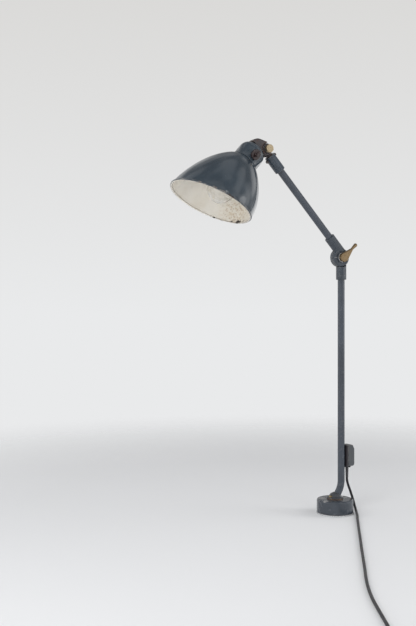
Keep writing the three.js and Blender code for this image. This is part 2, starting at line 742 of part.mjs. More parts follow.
// Half of a lapped knuckle with its tube socket. The pivot is at the origin, the knuckle's half is
// turned to the front or to the rear, and the socket runs along +Z, its axis offset along X.
function kneeSocket(turn, offset, length) {
  const face = KNUCKLE_HALF_WIDTH;
  const half = roundedDisc(KNUCKLE_RADIUS, -face, face, KNUCKLE_FILLET, SIDES_LARGE);
  const away = 3 * KNUCKLE_HALF_WIDTH;
  const otherHalf = disc(KNUCKLE_RADIUS + RUNNING + 0.3, -away, KNUCKLE_SPLIT, SIDES_LARGE);
  const sleeve = revolve(
    [
      [0, 1],
      [SOCKET_RADIUS, 1],
      [SOCKET_RADIUS, length - 1],
      [SOCKET_RADIUS - 1, length],
      [0, length],
    ],
    SIDES_TUBE,
  );
  const tubeBore = disc(TUBE_RADIUS + GAP, TUBE_STOP, length + 1, SIDES_TUBE);
  const wireway = disc(FLEX_RADIUS + 1, 0, TUBE_STOP + 1, SIDES_SMALL);
  const boltBore = disc(BOLT_RADIUS + GAP, -away, away, SIDES_SMALL);
  const screwHole = toRear(disc(SOCKET_SCREW_RADIUS + GAP, 0, SOCKET_RADIUS + 1, SIDES_TINY));
  const spotFace = disc(SPOT_FACE_RADIUS, face, away, SIDES_TUBE);
  return cut(
    join(turn(half), at(sleeve, offset, 0, 0)),
    turn(spotFace),
    turn(otherHalf),
    at(tubeBore, offset, 0, 0),
    at(wireway, offset, 0, 0),
    turn(boltBore),
    at(screwHole, offset, 0, socketScrewHeight(length)),
  );
}

function socketScrewHeight(length) {
  return (length + TUBE_STOP) / 2 + 3;
}

// A headless screw in the back of a socket, its tip at the tube.
function socketScrew(offset, length) {
  const tip = TUBE_RADIUS + GAP;
  const body = disc(SOCKET_SCREW_RADIUS, tip, tip + SOCKET_SCREW_LENGTH, SIDES_TINY);
  const slot = at(new THREE.BoxGeometry(6, 0.7, 1.4), 0, 0, tip + SOCKET_SCREW_LENGTH);
  return at(toRear(cut(body, slot)), offset, 0, socketScrewHeight(length));
}

function frictionDisc() {
  const half = KNUCKLE_SPLIT - GAP;
  return toFront(ring(BOLT_RADIUS + GAP, KNUCKLE_RADIUS - 2, -half, half, SIDES_TUBE));
}

// A bolt from the rear, with a six-sided head and a plain end. Distances are towards the front.
function throughBolt(headSeat, end) {
  const head = disc(BOLT_HEAD_RADIUS, headSeat - BOLT_HEAD_HEIGHT, headSeat, 6);
  const shank = revolve(
    [
      [0, headSeat - 1],
      [BOLT_RADIUS, headSeat - 1],
      [BOLT_RADIUS, end - 1],
      [BOLT_RADIUS - 1, end],
      [0, end],
    ],
    SIDES_SMALL,
  );
  return toFront(join(head, shank));
}

const ELBOW_WASHER_FRONT = KNUCKLE_HALF_WIDTH + GAP + ELBOW_WASHER_THICKNESS;
const LEVER_BACK = ELBOW_WASHER_FRONT + GAP;
const LEVER_FRONT = LEVER_BACK + LEVER_THICKNESS;

function elbowWasher() {
  const back = KNUCKLE_HALF_WIDTH + GAP;
  return toFront(ring(BOLT_RADIUS + GAP, ELBOW_WASHER_RADIUS, back, ELBOW_WASHER_FRONT, SIDES_TUBE));
}

// The drop-shaped lever and its handle, along +X.
function clampLever() {
  const outline = hullOutline(LEVER_HUB_RADIUS, LEVER_NECK_RADIUS, LEVER_NECK_REACH, 0, 10);
  const drop = slab(outline, LEVER_BACK, LEVER_FRONT, 1.6);
  const middle = (LEVER_BACK + LEVER_FRONT) / 2;
  const tipStart = LEVER_LENGTH - LEVER_TIP_RADIUS;
  const handle = revolve(
    [
      [0, LEVER_NECK_REACH - 12],
      [LEVER_NECK_RADIUS, LEVER_NECK_REACH - 12],
      [LEVER_NECK_RADIUS, LEVER_NECK_REACH],
      [LEVER_TIP_RADIUS - 0.5, tipStart - 4],
      ...arc(0, tipStart, LEVER_TIP_RADIUS, 0, 90, 4),
    ],
    SIDES_SMALL,
  );
  const bore = toFront(disc(BOLT_RADIUS + GAP, 0, LEVER_FRONT + 5, SIDES_SMALL));
  return cut(join(drop, at(toSide(handle), 0, -middle, 0)), bore);
}

// ---- Upper arm ----------------------------------------------------------------------------

const SLEEVE_TOP = UPPER_ARM_LENGTH - HEAD_SLEEVE_START;
const SLEEVE_BOTTOM = SLEEVE_TOP - HEAD_SLEEVE_LENGTH;
const SLEEVE_FLOOR = SLEEVE_BOTTOM + HEAD_SLEEVE_TUBE_DEPTH;
const SLEEVE_SCREW_HEIGHT = SLEEVE_TOP - SLEEVE_SCREW_DROP;

function upperTube() {
  return ring(TUBE_BORE, TUBE_RADIUS, TUBE_STOP + GAP, SLEEVE_FLOOR - GAP, SIDES_TUBE);
}

function upperFlex() {
  return disc(FLEX_RADIUS, TUBE_STOP + 1, SLEEVE_FLOOR - 1, SIDES_TINY);
}

function headSleeve() {
  const body = revolve(
    [
      [0, SLEEVE_BOTTOM],
      [SOCKET_RADIUS - 1, SLEEVE_BOTTOM],
      [SOCKET_RADIUS, SLEEVE_BOTTOM + 1],
      [SOCKET_RADIUS, SLEEVE_TOP - 1],
      [SOCKET_RADIUS - 1, SLEEVE_TOP],
      [0, SLEEVE_TOP],
    ],
    SIDES_TUBE,
  );
  const tubeBore = disc(TUBE_RADIUS + GAP, SLEEVE_BOTTOM - 1, SLEEVE_FLOOR, SIDES_TUBE);
  const web = SLEEVE_FLOOR + HEAD_SLEEVE_WEB;
  const shankBore = disc(SHANK_RADIUS + RUNNING, web, SLEEVE_TOP + 1, SIDES_TUBE);
  const wireway = disc(FLEX_RADIUS + 1, SLEEVE_FLOOR - 1, web + 1, SIDES_SMALL);
  const reach = SOCKET_RADIUS + 2;
  const screwHoles = toSide(disc(SLEEVE_SCREW_RADIUS + GAP, -reach, reach, SIDES_TINY));
  return cut(body, tubeBore, shankBore, wireway, at(screwHoles, 0, 0, SLEEVE_SCREW_HEIGHT));
}

// One of the two screws whose tips keep the shank in the sleeve, along +X.
function sleeveScrew() {
  const seat = SOCKET_RADIUS + GAP;
  const tip = SHANK_GROOVE_RADIUS + RUNNING;
  const top = seat + SLEEVE_SCREW_HEAD_HEIGHT;
  const body = revolve(
    [
      [0, tip],
      [SLEEVE_SCREW_RADIUS, tip],
      [SLEEVE_SCREW_RADIUS, seat],
      [SLEEVE_SCREW_HEAD_RADIUS, seat],
      [SLEEVE_SCREW_HEAD_RADIUS, top - 0.8],
      [SLEEVE_SCREW_HEAD_RADIUS - 0.8, top],
      [0, top],
    ],
    SIDES_SMALL,
  );
  const slot = at(new THREE.BoxGeometry(0.9, 10, 2), 0, 0, top);
  return toSide(cut(body, slot));
}

// ---- Head joint ---------------------------------------------------------------------------

// The front half of the head knuckle and its shank, with the pivot at the origin and the upper
// arm below it.
function stemKnuckle() {
  const half = roundedDisc(STEM_RADIUS, KNUCKLE_SPLIT, STEM_HALF_WIDTH, 2.5, SIDES_TUBE);
  const shankEnd = SLEEVE_FLOOR + HEAD_SLEEVE_WEB + GAP - UPPER_ARM_LENGTH;
  const grooveMiddle = SLEEVE_SCREW_HEIGHT - UPPER_ARM_LENGTH;
  const shank = revolve(
    [
      [0, shankEnd],
      [SHANK_RADIUS, shankEnd],
      [SHANK_RADIUS, grooveMiddle - SHANK_GROOVE_WIDTH / 2],
      [SHANK_GROOVE_RADIUS, grooveMiddle - SHANK_GROOVE_WIDTH / 2],
      [SHANK_GROOVE_RADIUS, grooveMiddle + SHANK_GROOVE_WIDTH / 2],
      [SHANK_RADIUS, grooveMiddle + SHANK_GROOVE_WIDTH / 2],
      [SHANK_RADIUS, -2],
      [0, -2],
    ],
    SIDES_TUBE,
  );
  const earRoom = toRear(disc(EAR_RADIUS + RUNNING, -KNUCKLE_SPLIT, 30, SIDES_LARGE));
  const wireway = disc(NIPPLE_BORE - 0.4, shankEnd - 1, -8, SIDES_SMALL);
  const boltBore = toFront(disc(BOLT_RADIUS + GAP, -5, 30, SIDES_SMALL));
  return cut(join(toFront(half), shank), earRoom, wireway, boltBore);
}

// The ear on the cap: one rounded block over the cap's top that narrows to its rear half at the
// pivot. It is drawn in the cap's frame.
function capEar() {
  const seat = CAP_HEIGHT + GAP;
  const outline = hullOutline(EAR_FOOT_RADIUS, EAR_RADIUS, HEAD_PIVOT_SIDE, HEAD_PIVOT_HEIGHT - seat, 10);
  const block = at(slab(outline, -EAR_HALF_WIDTH, EAR_HALF_WIDTH, 3), 0, 0, seat);
  const below = at(new THREE.BoxGeometry(120, 60, 60), 0, 0, seat - 30);
  const stemRoom = toFront(disc(STEM_RADIUS + RUNNING + 0.3, -KNUCKLE_SPLIT, 30, SIDES_TUBE));
  const slope = Math.atan2(HEAD_PIVOT_HEIGHT - seat, HEAD_PIVOT_SIDE);
  const front = new THREE.BoxGeometry(60, 30, 90);
  const frontRoom = at(front, 30 - EAR_CUT_BACK, -15 + KNUCKLE_SPLIT, 0).rotateY(-slope);
  const nippleBore = disc(NIPPLE_RADIUS + GAP, seat - 1, seat + NIPPLE_IN_EAR + GAP, SIDES_SMALL);
  const boltBore = toFront(disc(BOLT_RADIUS + GAP, -30, 30, SIDES_SMALL));
  return cut(
    block,
    below,
    at(stemRoom, HEAD_PIVOT_SIDE, 0, HEAD_PIVOT_HEIGHT),
    at(frontRoom, HEAD_PIVOT_SIDE, 0, HEAD_PIVOT_HEIGHT),
    nippleBore,
    at(boltBore, HEAD_PIVOT_SIDE, 0, HEAD_PIVOT_HEIGHT),
  );
}

const COLLAR_BACK = STEM_HALF_WIDTH + GAP;
const KNOB_BACK = COLLAR_BACK + COLLAR_THICKNESS + GAP;
const KNOB_FRONT = KNOB_BACK + KNOB_LENGTH;

function headCollar() {
  const front = COLLAR_BACK + COLLAR_THICKNESS;
  return toFront(ring(BOLT_RADIUS + GAP, COLLAR_RADIUS, COLLAR_BACK, front, SIDES_TUBE));
}

function headKnob() {
  const body = revolve(
    [
      [0, KNOB_BACK],
      [KNOB_RADIUS - 1.2, KNOB_BACK],
      [KNOB_RADIUS, KNOB_BACK + 1.2],
      [KNOB_RADIUS, KNOB_FRONT - 1.4],
      [KNOB_RADIUS - 1.2, KNOB_FRONT - 0.4],
      [0, KNOB_FRONT],
    ],
    SIDES_TUBE,
  );
  const bore = disc(BOLT_RADIUS + GAP, KNOB_BACK - 1, KNOB_FRONT - 2, SIDES_SMALL);
  return toFront(cut(body, bore));
}

// ---- Head ---------------------------------------------------------------------------------

const ROOF = CAP_HEIGHT - CAP_WALL;
const NUT_BOTTOM = ROOF - GAP - NIPPLE_NUT_HEIGHT;
const HOLDER_TOP = NUT_BOTTOM - GAP;
const HOLDER_BOTTOM = HOLDER_TOP - HOLDER_BASE_HEIGHT;

function cap() {
  const centre = CAP_RADIUS - CAP_SHOULDER_RADIUS;
  const level = CAP_HEIGHT - CAP_SHOULDER_RADIUS;
  const innerRadius = CAP_RADIUS - CAP_WALL;
  const hole = NIPPLE_RADIUS + GAP;
  const body = revolve(
    [
      [innerRadius, GAP],
      [CAP_RADIUS, GAP],
      ...arc(centre, level, CAP_SHOULDER_RADIUS, 0, 90, 6),
      [hole, CAP_HEIGHT],
      [hole, ROOF],
      ...arc(centre, level, CAP_SHOULDER_RADIUS - CAP_WALL, 90, 0, 6),
      [innerRadius, GAP],
    ],
    SIDES_LARGE,
  );
  const keyHole = toFront(disc(KEY_SPINDLE_RADIUS + RUNNING, 15, 40, SIDES_SMALL));
  return cut(body, at(keyHole, 0, 0, KEY_HEIGHT));
}

function nipple() {
  const low = CAP_HEIGHT - NIPPLE_BELOW_CAP;
  return ring(NIPPLE_BORE, NIPPLE_RADIUS, low, CAP_HEIGHT + NIPPLE_IN_EAR, SIDES_SMALL);
}

function nippleNut() {
  const bore = disc(NIPPLE_RADIUS + GAP, NUT_BOTTOM - 1, ROOF, SIDES_SMALL);
  return cut(disc(NIPPLE_NUT_RADIUS, NUT_BOTTOM, NUT_BOTTOM + NIPPLE_NUT_HEIGHT, 6), bore);
}

function lampholderBase() {
  const body = roundedDisc(HOLDER_RADIUS, HOLDER_BOTTOM, HOLDER_TOP, 2, SIDES_TUBE);
  const low = CAP_HEIGHT - NIPPLE_BELOW_CAP - GAP;
  return cut(body, disc(NIPPLE_RADIUS + GAP, low, HOLDER_TOP + 1, SIDES_SMALL));
}

function lampholderSkirt() {
  const inner = HOLDER_SKIRT_RADIUS - HOLDER_SKIRT_WALL;
  return ring(inner, HOLDER_SKIRT_RADIUS, -HOLDER_SKIRT_REACH, HOLDER_BOTTOM - GAP, SIDES_TUBE);
}

const LAMP_CAP_TOP = HOLDER_BOTTOM - GAP;
const LAMP_CAP_BOTTOM = LAMP_CAP_TOP - LAMP_CAP_LENGTH;
const GLASS_TOP = LAMP_CAP_BOTTOM - GAP;

function lampCap() {
  return revolve(
    [
      [0, LAMP_CAP_BOTTOM],
      [LAMP_CAP_RADIUS, LAMP_CAP_BOTTOM],
      [LAMP_CAP_RADIUS, LAMP_CAP_TOP - 7],
      [5, LAMP_CAP_TOP - 2],
      [4, LAMP_CAP_TOP],
      [0, LAMP_CAP_TOP],
    ],
    SIDES_TUBE,
  );
}

// Radius and height of the glass, from its neck to its tip, drawn in by a wall.
function glassProfile(inset, steps) {
  const ball = BULB_RADIUS - inset;
  const centre = GLASS_TOP - BULB_LENGTH + BULB_RADIUS;
  const neck = BULB_NECK_RADIUS - inset;
  const shoulder = Array.from({ length: steps }, (_, i) => {
    const t = i / steps;
    const swell = (1 - Math.cos(Math.PI * t)) / 2;
    return [neck + (ball - neck) * swell, GLASS_TOP + (centre - GLASS_TOP) * t];
  });
  return [...shoulder, ...arc(0, centre, ball, 0, -90, steps)];
}

function bulbGlass() {
  const outer = glassProfile(0, 5).reverse();
  return revolve([...outer, ...glassProfile(BULB_WALL, 5)], SIDES_TUBE);
}

function bulbStem() {
  const top = GLASS_TOP - GAP;
  return revolve(
    [
      [0, top - STEM_GLASS_LENGTH],
      [STEM_GLASS_RADIUS * 0.7, top - STEM_GLASS_LENGTH],
      [STEM_GLASS_RADIUS, top - STEM_GLASS_LENGTH * 0.4],
      [BULB_NECK_RADIUS - BULB_WALL - 2, top],
      [0, top],
    ],
    SIDES_SMALL,
  );
}

function shadeRing() {
  const top = -GAP - SHADE_WALL - GAP;
  const inner = HOLDER_SKIRT_RADIUS + GAP;
  return ring(inner, SHADE_RING_RADIUS, top - SHADE_RING_HEIGHT, top, SIDES_TUBE);
}

// The bell is a row of rings on the cap's axis. A ring's radius grows from the cap's radius to
// the rim's along a quarter of a rounded square, and its plane tips over as it gets deeper.
function bellRadius(depth, inset) {
  const share = Math.max(depth, 0) / SHADE_DEPTH;
  const spread = SHADE_RIM_RADIUS - SHADE_BEAD_RADIUS - CAP_RADIUS;
  const growth = (1 - (1 - Math.min(share, 1)) ** SHADE_CROWN) ** SHADE_SHOULDER;
  return CAP_RADIUS + spread * growth - inset;
}

function shade() {
  const hole = HOLDER_SKIRT_RADIUS + GAP;
  const depths = Array.from({ length: SHADE_STEPS }, (_, i) => SHADE_DEPTH * (i / SHADE_STEPS) ** 2);
  const outer = depths.map((depth) => [bellRadius(depth, 0), -depth - GAP]);
  const inner = depths.map((depth) => [bellRadius(depth, SHADE_WALL), -depth - GAP - SHADE_WALL]);
  const wallEnd = SHADE_RIM_RADIUS - SHADE_BEAD_RADIUS;
  const bead = arc(wallEnd, -SHADE_DEPTH, SHADE_BEAD_RADIUS, -200, 90, 6);
  const profile = [[hole, -GAP - SHADE_WALL], ...inner, ...bead, ...outer.reverse(), [hole, -GAP]];
  profile.push(profile[0]);
  const bell = revolve(profile, SIDES_LARGE);
  const place = bell.getAttribute("position");
  for (let i = 0; i < place.count; i += 1) {
    const x = place.getX(i);
    const z = place.getZ(i);
    const tip = THREE.MathUtils.degToRad((SHADE_RIM_TILT * Math.max(-z - GAP, 0)) / SHADE_DEPTH);
    place.setX(i, x * Math.cos(tip));
    place.setZ(i, z + x * Math.sin(tip));
  }
  return bell;
}

const CAP_OUTSIDE = disc(CAP_RADIUS + GAP, -20, CAP_HEIGHT + 20, SIDES_LARGE * 2);

function escutcheon() {
  const side = PLATE_FLAT_WIDTH / 2;
  const end = PLATE_FLAT_HEIGHT / 2;
  const corner = 5.5;
  const outline = [
    [side, -end + corner],
    [side, end - corner],
    [side - corner, end],
    [-side + corner, end],
    [-side, end - corner],
    [-side, -end + corner],
    [-side + corner, -end],
    [side - corner, -end],
  ];
  const block = at(slab(outline, CAP_RADIUS - 8, CAP_RADIUS + PLATE_STAND, 0.8), 0, 0, KEY_HEIGHT);
  const bore = toFront(disc(KEY_SPINDLE_RADIUS + RUNNING, 10, 60, SIDES_SMALL));
  return cut(block, CAP_OUTSIDE, at(bore, 0, 0, KEY_HEIGHT));
}

// The winged key and its spindle, turned about the front direction.
function switchKey() {
  const back = CAP_RADIUS + PLATE_STAND + GAP;
  const bossTop = back + KEY_BOSS_HEIGHT;
  const spindle = revolve(
    [
      [0, CAP_RADIUS - CAP_WALL - 2],
      [KEY_SPINDLE_RADIUS, CAP_RADIUS - CAP_WALL - 2],
      [KEY_SPINDLE_RADIUS, back],
      [KEY_BOSS_RADIUS, back],
      [KEY_BOSS_RADIUS - 0.6, bossTop],
      [0, bossTop],
    ],
    SIDES_SMALL,
  );
  const wing = slab(
    hullOutline(KEY_WING_WIDTH / 2, KEY_WING_WIDTH / 2, 0, KEY_WING_LENGTH - KEY_WING_WIDTH, 5),
    bossTop - 1,
    bossTop + KEY_WING_HEIGHT,
    0.8,
  );
  return at(join(toFront(spindle), at(wing, 0, 0, (KEY_WING_WIDTH - KEY_WING_LENGTH) / 2)), 0, 0, KEY_HEIGHT);
}

// The rotary switch behind the cap's wall, its shape fitted to the cap's round inside.
function keySwitchBlock() {
  const near = HOLDER_RADIUS + 1;
  const far = near + KEY_BLOCK_DEPTH;
  const body = new THREE.BoxGeometry(KEY_BLOCK_WIDTH, KEY_BLOCK_DEPTH, KEY_BLOCK_WIDTH);
  return at(body, 0, -(near + far) / 2, KEY_HEIGHT);
}

// ---- Lead, coil and plug ------------------------------------------------------------------

function stations(points) {
  return points.map(([x, y, z]) => new THREE.Vector3(x, y, z));
}

function cord() {
  return pathTube(stations(CORD_ROUTE), CORD_RADIUS, CORD_SIDES);
}

function cordTail() {
  return pathTube(stations(TAIL_ROUTE), CORD_RADIUS, CORD_SIDES);
}

// The hank as one ring.
function cordCoil() {
  const inner = COIL_MIDDLE_RADIUS - COIL_HALF_BAND;
  const outer = COIL_MIDDLE_RADIUS + COIL_HALF_BAND;
  const corner = 2;
  const body = revolve(
    [
      [inner, COIL_BOTTOM],
      [outer - corner, COIL_BOTTOM],
      [outer, COIL_BOTTOM + corner],
      [outer, COIL_TOP - corner],
      [outer - corner, COIL_TOP],
      [inner, COIL_TOP],
      [inner, COIL_BOTTOM],
    ],
    SIDES_TUBE,
  );
  return at(body, COIL_CENTRE.x, COIL_CENTRE.y, 0);
}

// A flat strap closed round the coil's band.
function coilTie() {
  const innerX = COIL_MIDDLE_RADIUS - COIL_HALF_BAND - 2;
  const outerX = COIL_MIDDLE_RADIUS + COIL_HALF_BAND + 1;
  const room = [outerX - innerX, 2 * TIE_HALF_WIDTH + 2, COIL_TOP - COIL_BOTTOM + 2 * GAP];
  const whole = [room[0] + 2 * TIE_THICKNESS, 2 * TIE_HALF_WIDTH, room[2] + 2 * TIE_THICKNESS];
  const middleZ = (COIL_TOP + COIL_BOTTOM) / 2;
  const strap = cut(new THREE.BoxGeometry(...whole), new THREE.BoxGeometry(...room));
  const placed = at(strap, (innerX + outerX) / 2, 0, middleZ).rotateZ(THREE.MathUtils.degToRad(TIE_ANGLE));
  return at(placed, COIL_CENTRE.x, COIL_CENTRE.y, 0);
}

const TIE_ANGLE = 120;

// The plug lies on its side past the end of the tail and points away from the coil.
function plugFrame() {
  const [before, end] = stations(TAIL_ROUTE).slice(-2);
  const heading = new THREE.Vector3().subVectors(end, before).setZ(0).normalize();
  const frame = new THREE.Group();
  frame.position.set(end.x, end.y, PLUG_CENTRE_HEIGHT);
  frame.rotation.z = Math.atan2(heading.y, heading.x);
  return frame;
}

function plugBody() {
  const body = revolve(
    [
      [0, GAP],
      [4.4, GAP],
      [5.2, PLUG_TAIL_LENGTH],
      ...arc(PLUG_RADIUS - 6, PLUG_TAIL_LENGTH + 6, 6, -60, 0, 3),
      [PLUG_RADIUS, PLUG_LENGTH - 1.5],
      [PLUG_RADIUS - 1.5, PLUG_LENGTH],
      [0, PLUG_LENGTH],
    ],
    SIDES_TUBE,
  );
  const pinHoles = [-1, 1].map((side) => {
    const hole = disc(PLUG_PIN_RADIUS + GAP, PLUG_LENGTH - 6, PLUG_LENGTH + 1, SIDES_SMALL);
    return at(hole, 0, (side * PLUG_PIN_SPACING) / 2, 0);
  });
  return toSide(cut(body, ...pinHoles));
}

function plugPin(side) {
  const start = PLUG_LENGTH - 6 + GAP;
  const end = PLUG_LENGTH + PLUG_PIN_LENGTH;
  const pin = revolve(
    [
      [0, start],
      [PLUG_PIN_RADIUS, start],
      ...arc(0, end - PLUG_PIN_RADIUS, PLUG_PIN_RADIUS, 0, 90, 3),
    ],
    SIDES_SMALL,
  );
  return at(toSide(pin), 0, (side * PLUG_PIN_SPACING) / 2, 0);
}

// ---- Assembly -----------------------------------------------------------------------------

const FINISHES = {
  greyEnamel: { color: 0x434c56, roughness: 0.38, metalness: 0.1 },
  armPaint: { color: 0x4a4e56, roughness: 0.42, metalness: 0.15 },
  basePaint: { color: 0x50545b, roughness: 0.5, metalness: 0.15 },
  boxPaint: { color: 0x6a7178, roughness: 0.55, metalness: 0.1 },
  darkIron: { color: 0x3a3533, roughness: 0.6, metalness: 0.5 },
  brass: { color: 0x9c8a63, roughness: 0.4, metalness: 0.9 },
  steel: { color: 0x8e9092, roughness: 0.45, metalness: 0.9 },
  bakelite: { color: 0x2a1a17, roughness: 0.3, metalness: 0 },
  fibre: { color: 0x4a352a, roughness: 0.9, metalness: 0 },
  porcelain: { color: 0xd9d3c4, roughness: 0.3, metalness: 0 },
  glass: { color: 0xe8e6de, roughness: 0.1, metalness: 0 },
  rubber: { color: 0x1b1a1d, roughness: 0.8, metalness: 0 },
  braid: { color: 0x242228, roughness: 0.95, metalness: 0 },
};

function add(group, name, finish, geometry) {
  const mesh = new THREE.Mesh(geometry, new THREE.MeshStandardMaterial(FINISHES[finish]));
  mesh.name = name;
  group.add(mesh);
}

function addBase(lamp) {
  add(lamp, "base_flange", "basePaint", baseFlange());
  add(lamp, "bottom_plate", "steel", bottomPlate());
  THIRDS.forEach((angle, index) => add(lamp, `plate_screw_${index + 1}`, "steel", plateScrew(angle)));
  add(lamp, "edge_pin", "darkIron", edgePin());
}

function addLowerArm(lamp) {
  add(lamp, "turret", "darkIron", turret());
  TURRET_SCREW_ANGLES.forEach((angle, index) => {
    add(lamp, `turret_screw_${index + 1}`, index === 0 ? "brass" : "steel", turretScrew(angle));
  });
  add(lamp, "swivel_washer", "fibre", swivelWasher());
  add(lamp, "spigot_nut", "steel", spigotNut());
  add(lamp, "lower_tube", "armPaint", lowerTube());
  add(lamp, "lower_flex", "rubber", lowerFlex());
}

function addSwitchBox(lamp) {
  add(lamp, "switch_back_plate", "bakelite", backPlate());
  add(lamp, "switch_cover", "boxPaint", boxCover());
  FIXING_SCREW_HEIGHTS.forEach((height, index) => {
    add(lamp, `box_fixing_screw_${index + 1}`, "steel", fixingScrew(height));
  });
  add(lamp, "switch_block", "bakelite", switchBlock());
  add(lamp, "switch_button", "rubber", switchButton());
  add(lamp, "cover_screw", "steel", coverScrew());
  add(lamp, "cord_gland", "rubber", cordGland());
}

function addElbow(elbow) {
  const lower = new THREE.Group();
  lower.rotation.y = Math.PI;
  elbow.add(lower);
  add(lower, "elbow_lower_socket", "armPaint", kneeSocket(toRear, -ELBOW_SET_BACK, LOWER_SOCKET_LENGTH));
  add(lower, "lower_socket_screw", "steel", socketScrew(-ELBOW_SET_BACK, LOWER_SOCKET_LENGTH));
  add(elbow, "friction_disc", "fibre", frictionDisc());
  add(elbow, "elbow_bolt", "steel", throughBolt(-KNUCKLE_HALF_WIDTH - GAP, LEVER_FRONT - 2));
  const lever = new THREE.Group();
  lever.rotation.y = -THREE.MathUtils.degToRad(LEVER_ANGLE);
  elbow.add(lever);
  add(lever, "clamp_lever", "brass", clampLever());
}

function addUpperSocket(elbow) {
  const socket = kneeSocket(toFront, UPPER_ARM_OFFSET, UPPER_SOCKET_LENGTH);
  add(elbow, "elbow_upper_socket", "armPaint", socket);
  add(elbow, "upper_socket_screw", "steel", socketScrew(UPPER_ARM_OFFSET, UPPER_SOCKET_LENGTH));
  add(elbow, "elbow_washer", "steel", elbowWasher());
}

function addUpperArm(arm) {
  add(arm, "upper_tube", "armPaint", upperTube());
  add(arm, "upper_flex", "rubber", upperFlex());
  add(arm, "head_sleeve", "armPaint", headSleeve());
  [0, Math.PI].forEach((turn, index) => {
    const side = new THREE.Group();
    side.position.z = SLEEVE_SCREW_HEIGHT;
    side.rotation.z = turn;
    arm.add(side);
    add(side, `sleeve_screw_${index + 1}`, "darkIron", sleeveScrew());
  });
}

function addHeadJoint(joint) {
  add(joint, "stem_knuckle", "darkIron", stemKnuckle());
  add(joint, "head_bolt", "steel", throughBolt(-EAR_HALF_WIDTH - GAP, KNOB_FRONT - 2.6));
  add(joint, "head_collar", "rubber", headCollar());
  add(joint, "head_knob", "brass", headKnob());
}

function addHead(head) {
  add(head, "cap_ear", "darkIron", capEar());
  add(head, "nipple", "brass", nipple());
  add(head, "nipple_nut", "brass", nippleNut());
  add(head, "cap", "greyEnamel", cap());
  add(head, "escutcheon", "bakelite", escutcheon());
  add(head, "switch_key", "bakelite", switchKey());
  add(head, "key_switch_block", "bakelite", keySwitchBlock());
  add(head, "lampholder_base", "porcelain", lampholderBase());
  add(head, "lampholder_skirt", "brass", lampholderSkirt());
  add(head, "shade", "greyEnamel", shade());
  add(head, "shade_ring", "brass", shadeRing());
  add(head, "lamp_cap", "brass", lampCap());
  add(head, "bulb_glass", "glass", bulbGlass());
  add(head, "bulb_stem", "glass", bulbStem());
}

function addLead(lamp) {
  add(lamp, "cord", "braid", cord());
  add(lamp, "cord_coil", "braid", cordCoil());
  add(lamp, "coil_tie", "rubber", coilTie());
  add(lamp, "cord_tail", "braid", cordTail());
  const plug = plugFrame();
  lamp.add(plug);
  add(plug, "plug_body", "bakelite", plugBody());
  add(plug, "plug_pin_1", "brass", plugPin(-1));
  add(plug, "plug_pin_2", "brass", plugPin(1));
}

const lamp = new THREE.Group();
addBase(lamp);
addLowerArm(lamp);
addSwitchBox(lamp);

const elbow = new THREE.Group();
elbow.position.set(ARM_OFFSET - ELBOW_SET_BACK, 0, ELBOW_HEIGHT);
lamp.add(elbow);
addElbow(elbow);

const upperElbow = new THREE.Group();
upperElbow.rotation.y = -THREE.MathUtils.degToRad(UPPER_ARM_LEAN);
elbow.add(upperElbow);
addUpperSocket(upperElbow);

const upperArm = new THREE.Group();
upperArm.position.x = UPPER_ARM_OFFSET;
upperElbow.add(upperArm);
addUpperArm(upperArm);

const headJoint = new THREE.Group();
headJoint.position.z = UPPER_ARM_LENGTH;
upperArm.add(headJoint);
addHeadJoint(headJoint);

const tiltFrame = new THREE.Group();
tiltFrame.rotation.y = THREE.MathUtils.degToRad(HEAD_TILT + UPPER_ARM_LEAN);
headJoint.add(tiltFrame);

const head = new THREE.Group();
head.position.set(-HEAD_PIVOT_SIDE, 0, -HEAD_PIVOT_HEIGHT);
tiltFrame.add(head);
addHead(head);

addLead(lamp);

export default lamp;
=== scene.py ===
"""Looks of a jointed desk lamp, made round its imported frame.

Lengths are in metres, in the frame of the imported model: +Z is up, the arms lie in the XZ plane, the
head points towards -X and -Y is the front.
"""

import json
import logging
import math
from collections.abc import Callable, Sequence
from dataclasses import dataclass, field
from enum import Enum

import bmesh
import bpy
import numpy as np
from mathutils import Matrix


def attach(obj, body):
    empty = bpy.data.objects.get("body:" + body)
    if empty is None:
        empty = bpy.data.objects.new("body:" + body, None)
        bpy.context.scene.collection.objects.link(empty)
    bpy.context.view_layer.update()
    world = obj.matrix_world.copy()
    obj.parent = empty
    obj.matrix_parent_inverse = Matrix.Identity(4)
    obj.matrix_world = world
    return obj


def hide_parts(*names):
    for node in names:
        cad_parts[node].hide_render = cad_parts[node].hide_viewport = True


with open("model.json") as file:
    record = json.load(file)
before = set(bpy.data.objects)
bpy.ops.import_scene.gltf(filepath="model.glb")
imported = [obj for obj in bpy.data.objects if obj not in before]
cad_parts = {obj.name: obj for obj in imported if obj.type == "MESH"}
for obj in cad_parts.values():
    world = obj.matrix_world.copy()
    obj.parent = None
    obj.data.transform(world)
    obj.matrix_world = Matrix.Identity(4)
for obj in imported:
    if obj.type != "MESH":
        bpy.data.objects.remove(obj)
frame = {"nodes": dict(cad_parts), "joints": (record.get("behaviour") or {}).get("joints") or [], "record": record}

Array = np.ndarray
Colour = tuple[float, float, float]

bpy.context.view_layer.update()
MM = 0.001
LOG = logging.getLogger("desk_lamp")


# ---- Places ---------------------------------------------------------------------------------


